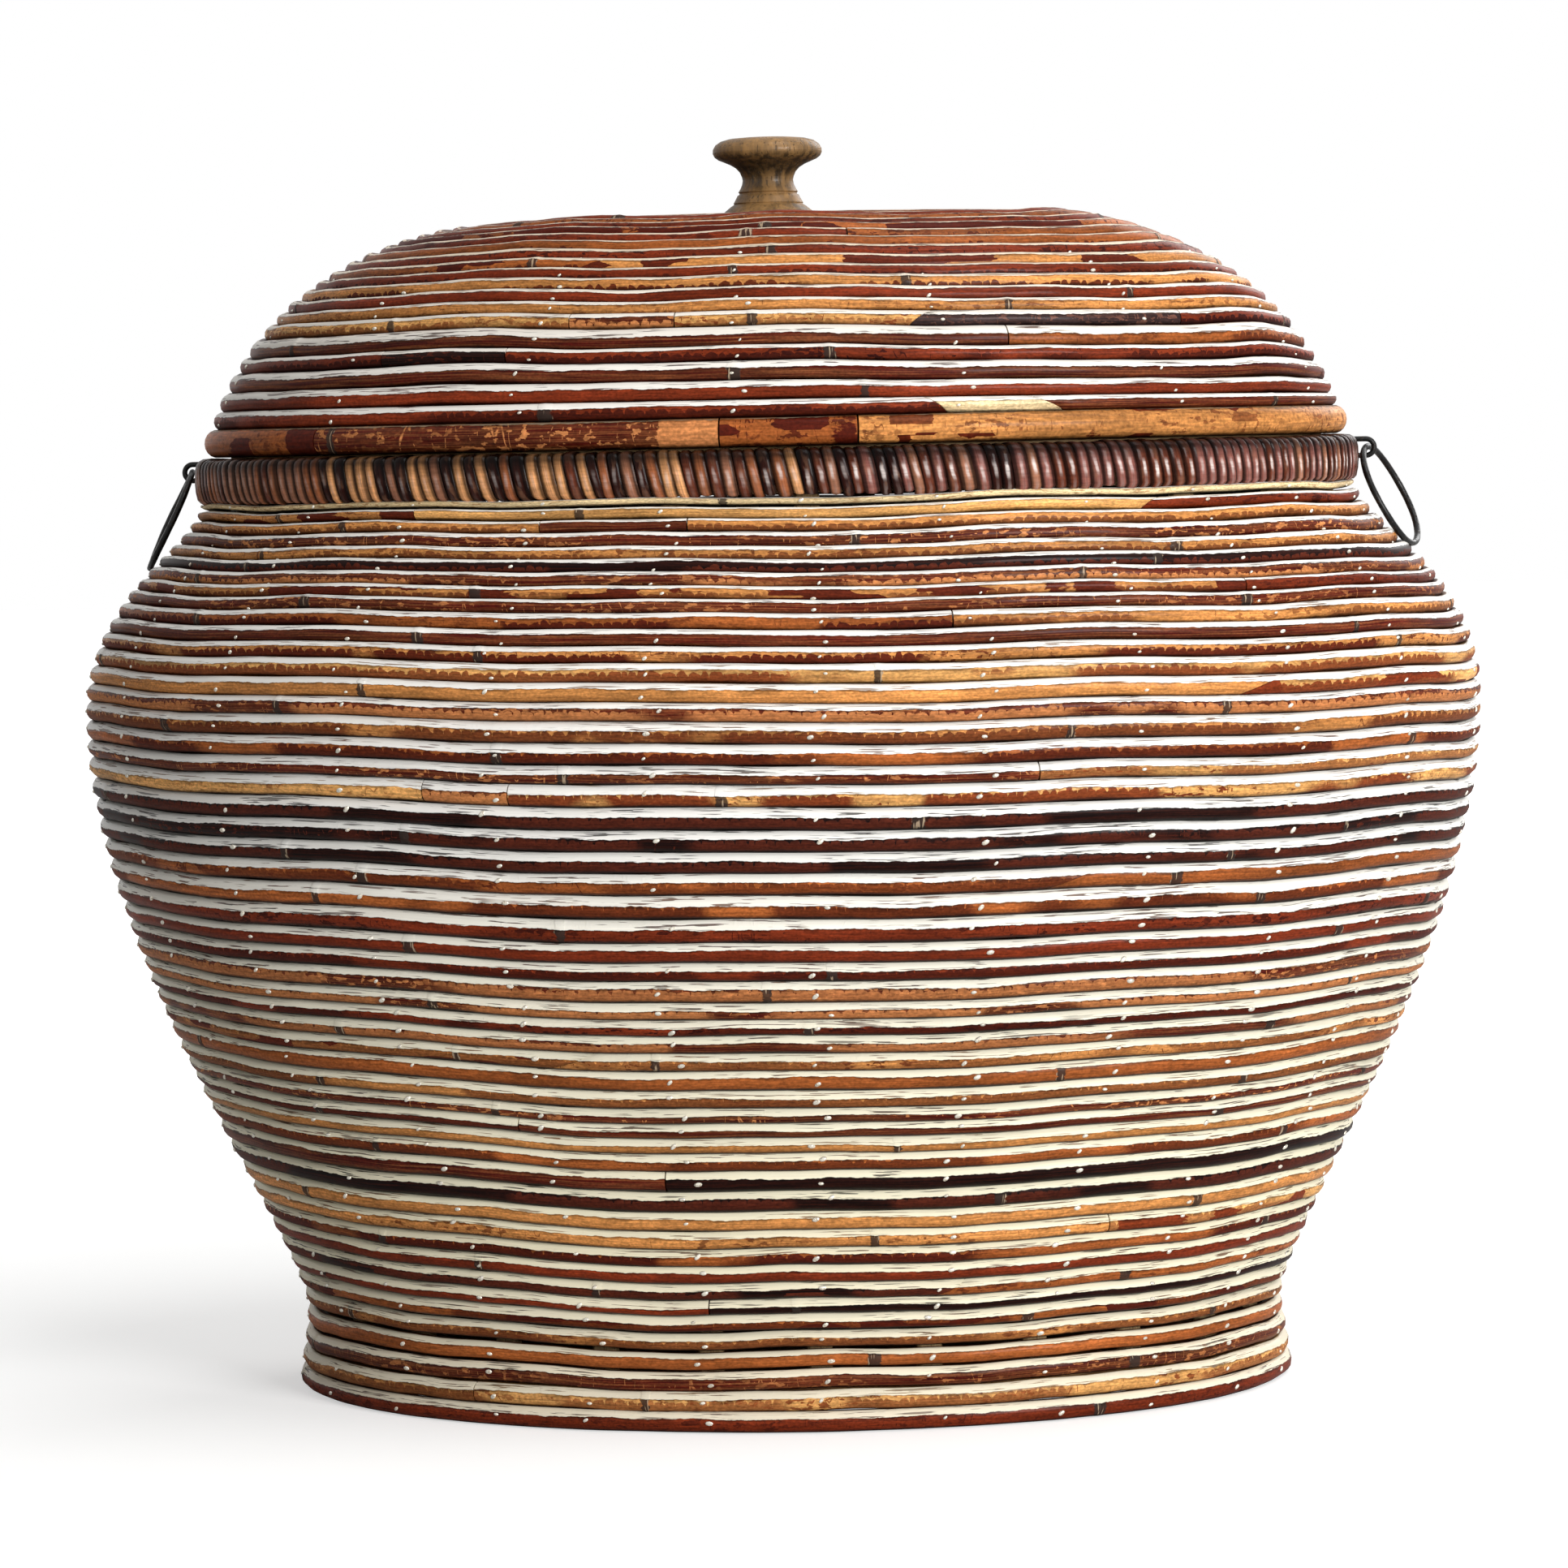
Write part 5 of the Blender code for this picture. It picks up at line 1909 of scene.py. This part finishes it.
@dataclass
class Handles:
    """The wire ring at each end and the staple that it hangs in."""

    finishes: "Finishes"
    hinge_half: float = 0.19795
    hinge_height: float = 0.3095
    rim_half: float = 0.1955
    bite: float = 0.005
    ring_radius: float = 0.0178
    wire: float = 0.00125
    staple_wire: float = 0.0009
    loop: float = 0.00275
    sides: int = 14
    lean: float = math.radians(26.25)
    twists: tuple[float, float] = (math.radians(11), math.radians(15))

    def build(self) -> None:
        """Build both ends."""
        for name, direction, twist in (("left", -1, self.twists[0]), ("right", 1, self.twists[1])):
            self.ring(name, direction, twist)
            self.staple(name, direction)

    def tube(self, name: str, path: np.ndarray, radius: np.ndarray) -> Skin:
        """A round wire along a path.

        Args:
            name: The piece's name.
            path: The points that it follows.
            radius: Half its thickness at each of them.

        Returns:
            The skin.
        """
        skin = Skin(name)
        step = unit(np.gradient(path, axis=0))
        side = np.cross(step, np.array([0.31, 0.83, 0.46]))  # a way that no wire takes
        for row in range(1, len(side)):
            side[row] = side[row - 1] - step[row] * side[row - 1].dot(step[row])
            side[row] /= np.linalg.norm(side[row])
        side[0] /= np.linalg.norm(side[0])
        other = np.cross(step, side)
        turn = np.linspace(0.0, math.tau, self.sides + 1)
        ring = side[:, None] * np.cos(turn)[:, None] + other[:, None] * np.sin(turn)[:, None]
        grid = path[:, None] + ring * radius[:, None, None]
        skin.add(grid[:, :-1][:, ::-1], run_map(distances(path), turn / math.tau)[:, ::-1], {})
        return skin

    def ring(self, name: str, direction: int, twist: float) -> None:
        """One ring of wire whose two ends meet inside the staple.

        Args:
            name: Which end of the basket.
            direction: -1 for the left end and 1 for the right.
            twist: How far it has turned in its staple.
        """
        at = np.linspace(0.006, math.tau - 0.006, 97)
        flat = np.stack([np.zeros_like(at), np.sin(at), np.cos(at) - 1.0], axis=1) * self.ring_radius
        flat[:, 0] += 0.00018 * np.sin(3 * at + direction)
        radius = self.wire * (0.86 + 0.02 * np.sin(5 * at) + 0.015 * np.sin(13 * at + 1.0))
        place = Matrix.Translation((direction * self.hinge_half, 0.0, self.hinge_height))
        place = place @ Matrix.Rotation(-direction * self.lean, 4, "Y")
        place = place @ Matrix.Rotation(-direction * twist, 4, "Z")
        path = np.array([(place @ Vector(point))[:] for point in flat])
        skin = self.tube(f"{name}_wire_ring", path, radius)
        keep(skin.build(self.finishes.iron), f"{name}_ring", "black_iron", f"{name}_ring")

    def staple(self, name: str, direction: int) -> None:
        """One staple, its two legs driven into the rim.

        Args:
            name: Which end of the basket.
            direction: -1 for the left end and 1 for the right.
        """
        legs = np.linspace(self.rim_half - self.bite, self.hinge_half, 9)[:-1]
        upper = [(half, self.loop) for half in legs]
        bend = [
            (self.hinge_half + self.loop * math.cos(turn), self.loop * math.sin(turn))
            for turn in np.linspace(math.pi / 2, -math.pi / 2, 17)
        ]
        lower = [(half, -self.loop) for half in legs[::-1]]
        points = [(direction * half, 0.0, self.hinge_height + rise) for half, rise in upper + bend + lower]
        path = np.array(points)
        radius = np.full(len(path), self.staple_wire)
        radius[0] = radius[-1] = self.staple_wire * 0.4
        skin = self.tube(f"{name}_wire_staple", path, radius)
        keep(skin.build(self.finishes.iron), "body", "black_iron", f"{name}_staple")


def dress(node: str, material: bpy.types.Material) -> None:
    """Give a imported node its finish.

    Args:
        node: The node's name.
        material: The finish.
    """
    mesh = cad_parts[node].data
    mesh.materials.clear()
    mesh.materials.append(material)
    LOG.info("%s: packed node, finish %s", node, material.name)


@dataclass
class Finishes:
    """All materials, each made once."""

    cane: bpy.types.Material = field(default_factory=CaneFinish().make)
    binding: bpy.types.Material = field(default_factory=BindingFinish().make)
    split_cane: bpy.types.Material = field(default_factory=SplitCaneFinish().make)
    board: bpy.types.Material = field(default_factory=BoardFinish("sawn_board").make)
    turned_wood: bpy.types.Material = field(default_factory=TurnedWoodFinish(Knob.foot, Knob.tall).make)
    iron: bpy.types.Material = field(
        default_factory=MetalFinish(
            "black_iron", (0.003, 0.003, 0.003), (0.014, 0.008, 0.005), 0.0, (0.3, 0.55), specular=0.25
        ).make
    )
    steel: bpy.types.Material = field(
        default_factory=MetalFinish(
            "screw_steel", (0.45, 0.44, 0.42), (0.18, 0.14, 0.10), 1.0, (0.25, 0.5)
        ).make
    )
    nail: bpy.types.Material = field(
        default_factory=MetalFinish(
            "nail_heads", (0.78, 0.74, 0.64), (0.40, 0.30, 0.18), 0.35, (0.25, 0.5), 0.0006
        ).make
    )


@dataclass
class Studio:
    """The pale floor, the soft light and the camera."""

    distance: float = 1.8758
    lens: float = 127.63
    yaw: float = math.radians(4.896)
    pitch: float = math.radians(3.608)
    roll: float = math.radians(-1.2776)
    aim_across: float = 0.0009
    aim_height: float = 0.2003
    floor_reach: float = 9.0
    ambient: float = 0.19  # the world's light on matt faces
    # name, place, size and power
    lights: tuple[tuple[str, tuple[float, float, float], float, float], ...] = (
        ("key", (1.85, -2.2, 0.85), 1.1, 84.0),
        ("fill", (-2.2, -2.2, 0.8), 1.8, 1.5),
        ("top", (0.85, -0.6, 2.6), 1.4, 26.0),
        ("back", (1.4, 2.2, 1.6), 1.6, 34.0),
    )

    def build(self) -> None:
        """Set up everything that isn't the basket."""
        self.floor()
        self.world()
        self.lamps()
        self.camera()
        bpy.context.scene.view_settings.view_transform = "Standard"
        LOG.info("studio: floor, world, lamps and camera")

    def floor(self) -> None:
        """A plain pale floor that keeps the basket's soft shadow."""
        mesh = bpy.data.meshes.new("floor")
        ends = ((-1, -1), (1, -1), (1, 1), (-1, 1))
        mesh.from_pydata([(x * self.floor_reach, y * self.floor_reach, 0) for x, y in ends], [], [range(4)])
        floor = shown("floor", mesh)
        paint = Paint("pale_floor")
        grain = paint.noise(paint.place(), 40.0, 3.0)
        color = paint.shade((0.70, 0.70, 0.69), paint.scaled(grain, 0.3, 0.7, 0.99, 1.0))
        paint.finish(color, 0.9, grain, 0.0001)
        seen = paint.read(paint.add("LightPath", {}), "Is Camera Ray")
        away = paint.read(paint.add("VectorMath", {0: paint.place()}, operation="LENGTH"), "Value")
        glow = paint.scaled(away, 0.30, 1.6, 0.50, 1.0)
        paint.feed(paint.shader, "Emission Color", (1.0, 1.0, 1.0))
        paint.feed(paint.shader, "Emission Strength", seen * glow)
        mesh.materials.append(paint.material)

    def world(self) -> None:
        """White where the camera or a gloss sees it, and a soft even light elsewhere."""
        world = bpy.data.worlds.new("studio")
        bpy.context.scene.world = world
        world.use_nodes = True
        world.node_tree.nodes.clear()
        nodes = Nodes(world.node_tree)
        path = nodes.add("LightPath", {})
        rays = [nodes.read(path, f"Is {ray} Ray") for ray in ("Camera", "Glossy", "Transmission")]
        seen = nodes.larger(rays[0], nodes.larger(rays[1], rays[2]))
        strength = nodes.add("MapRange", {"Value": seen, "To Min": self.ambient, "To Max": 1.0})
        light = nodes.add("Background", {"Color": (1.0, 1.0, 1.0), "Strength": nodes.read(strength)})
        nodes.add("OutputWorld", {"Surface": nodes.read(light)})

    def lamps(self) -> None:
        """A wide key light over the camera's right shoulder, a weak fill, a top light and one from behind."""
        for name, place, size, power in self.lights:
            lamp = bpy.data.lights.new(name, "AREA")
            lamp.size = size
            lamp.energy = power
            thing = shown(name, lamp)
            thing.location = place
            aim = Vector((0.0, 0.0, 0.2)) - Vector(place)
            thing.rotation_euler = aim.to_track_quat("-Z", "Y").to_euler()

    def camera(self) -> None:
        """The camera at the photograph's angle."""
        cos, sin = math.cos, math.sin
        back = Vector((sin(self.yaw) * cos(self.pitch), -cos(self.yaw) * cos(self.pitch), sin(self.pitch)))
        right = Vector((cos(self.yaw), sin(self.yaw), 0.0))
        up = back.cross(right)
        aim = Vector((self.aim_across * cos(self.yaw), self.aim_across * sin(self.yaw), self.aim_height))
        tilted_right = right * cos(self.roll) + up * sin(self.roll)
        tilted_up = up * cos(self.roll) - right * sin(self.roll)
        lens = bpy.data.cameras.new("camera")
        lens.lens = self.lens
        lens.sensor_width = 36.0
        camera = shown("camera", lens)
        turn = Matrix((tilted_right, tilted_up, back)).transposed().to_4x4()
        camera.matrix_world = Matrix.Translation(aim + back * self.distance) @ turn
        bpy.context.scene.camera = camera


def main() -> None:
    """Build the basket piece by piece."""
    logging.basicConfig(level=logging.INFO, format="%(name)s: %(message)s")
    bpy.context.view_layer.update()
    Studio().build()
    finishes = Finishes()
    rim = Rim(finishes)
    for part in (BasketBody(finishes), rim, Lid(finishes, rim), Knob(finishes), Handles(finishes)):
        part.build()


if __name__ == "__main__":
    main()
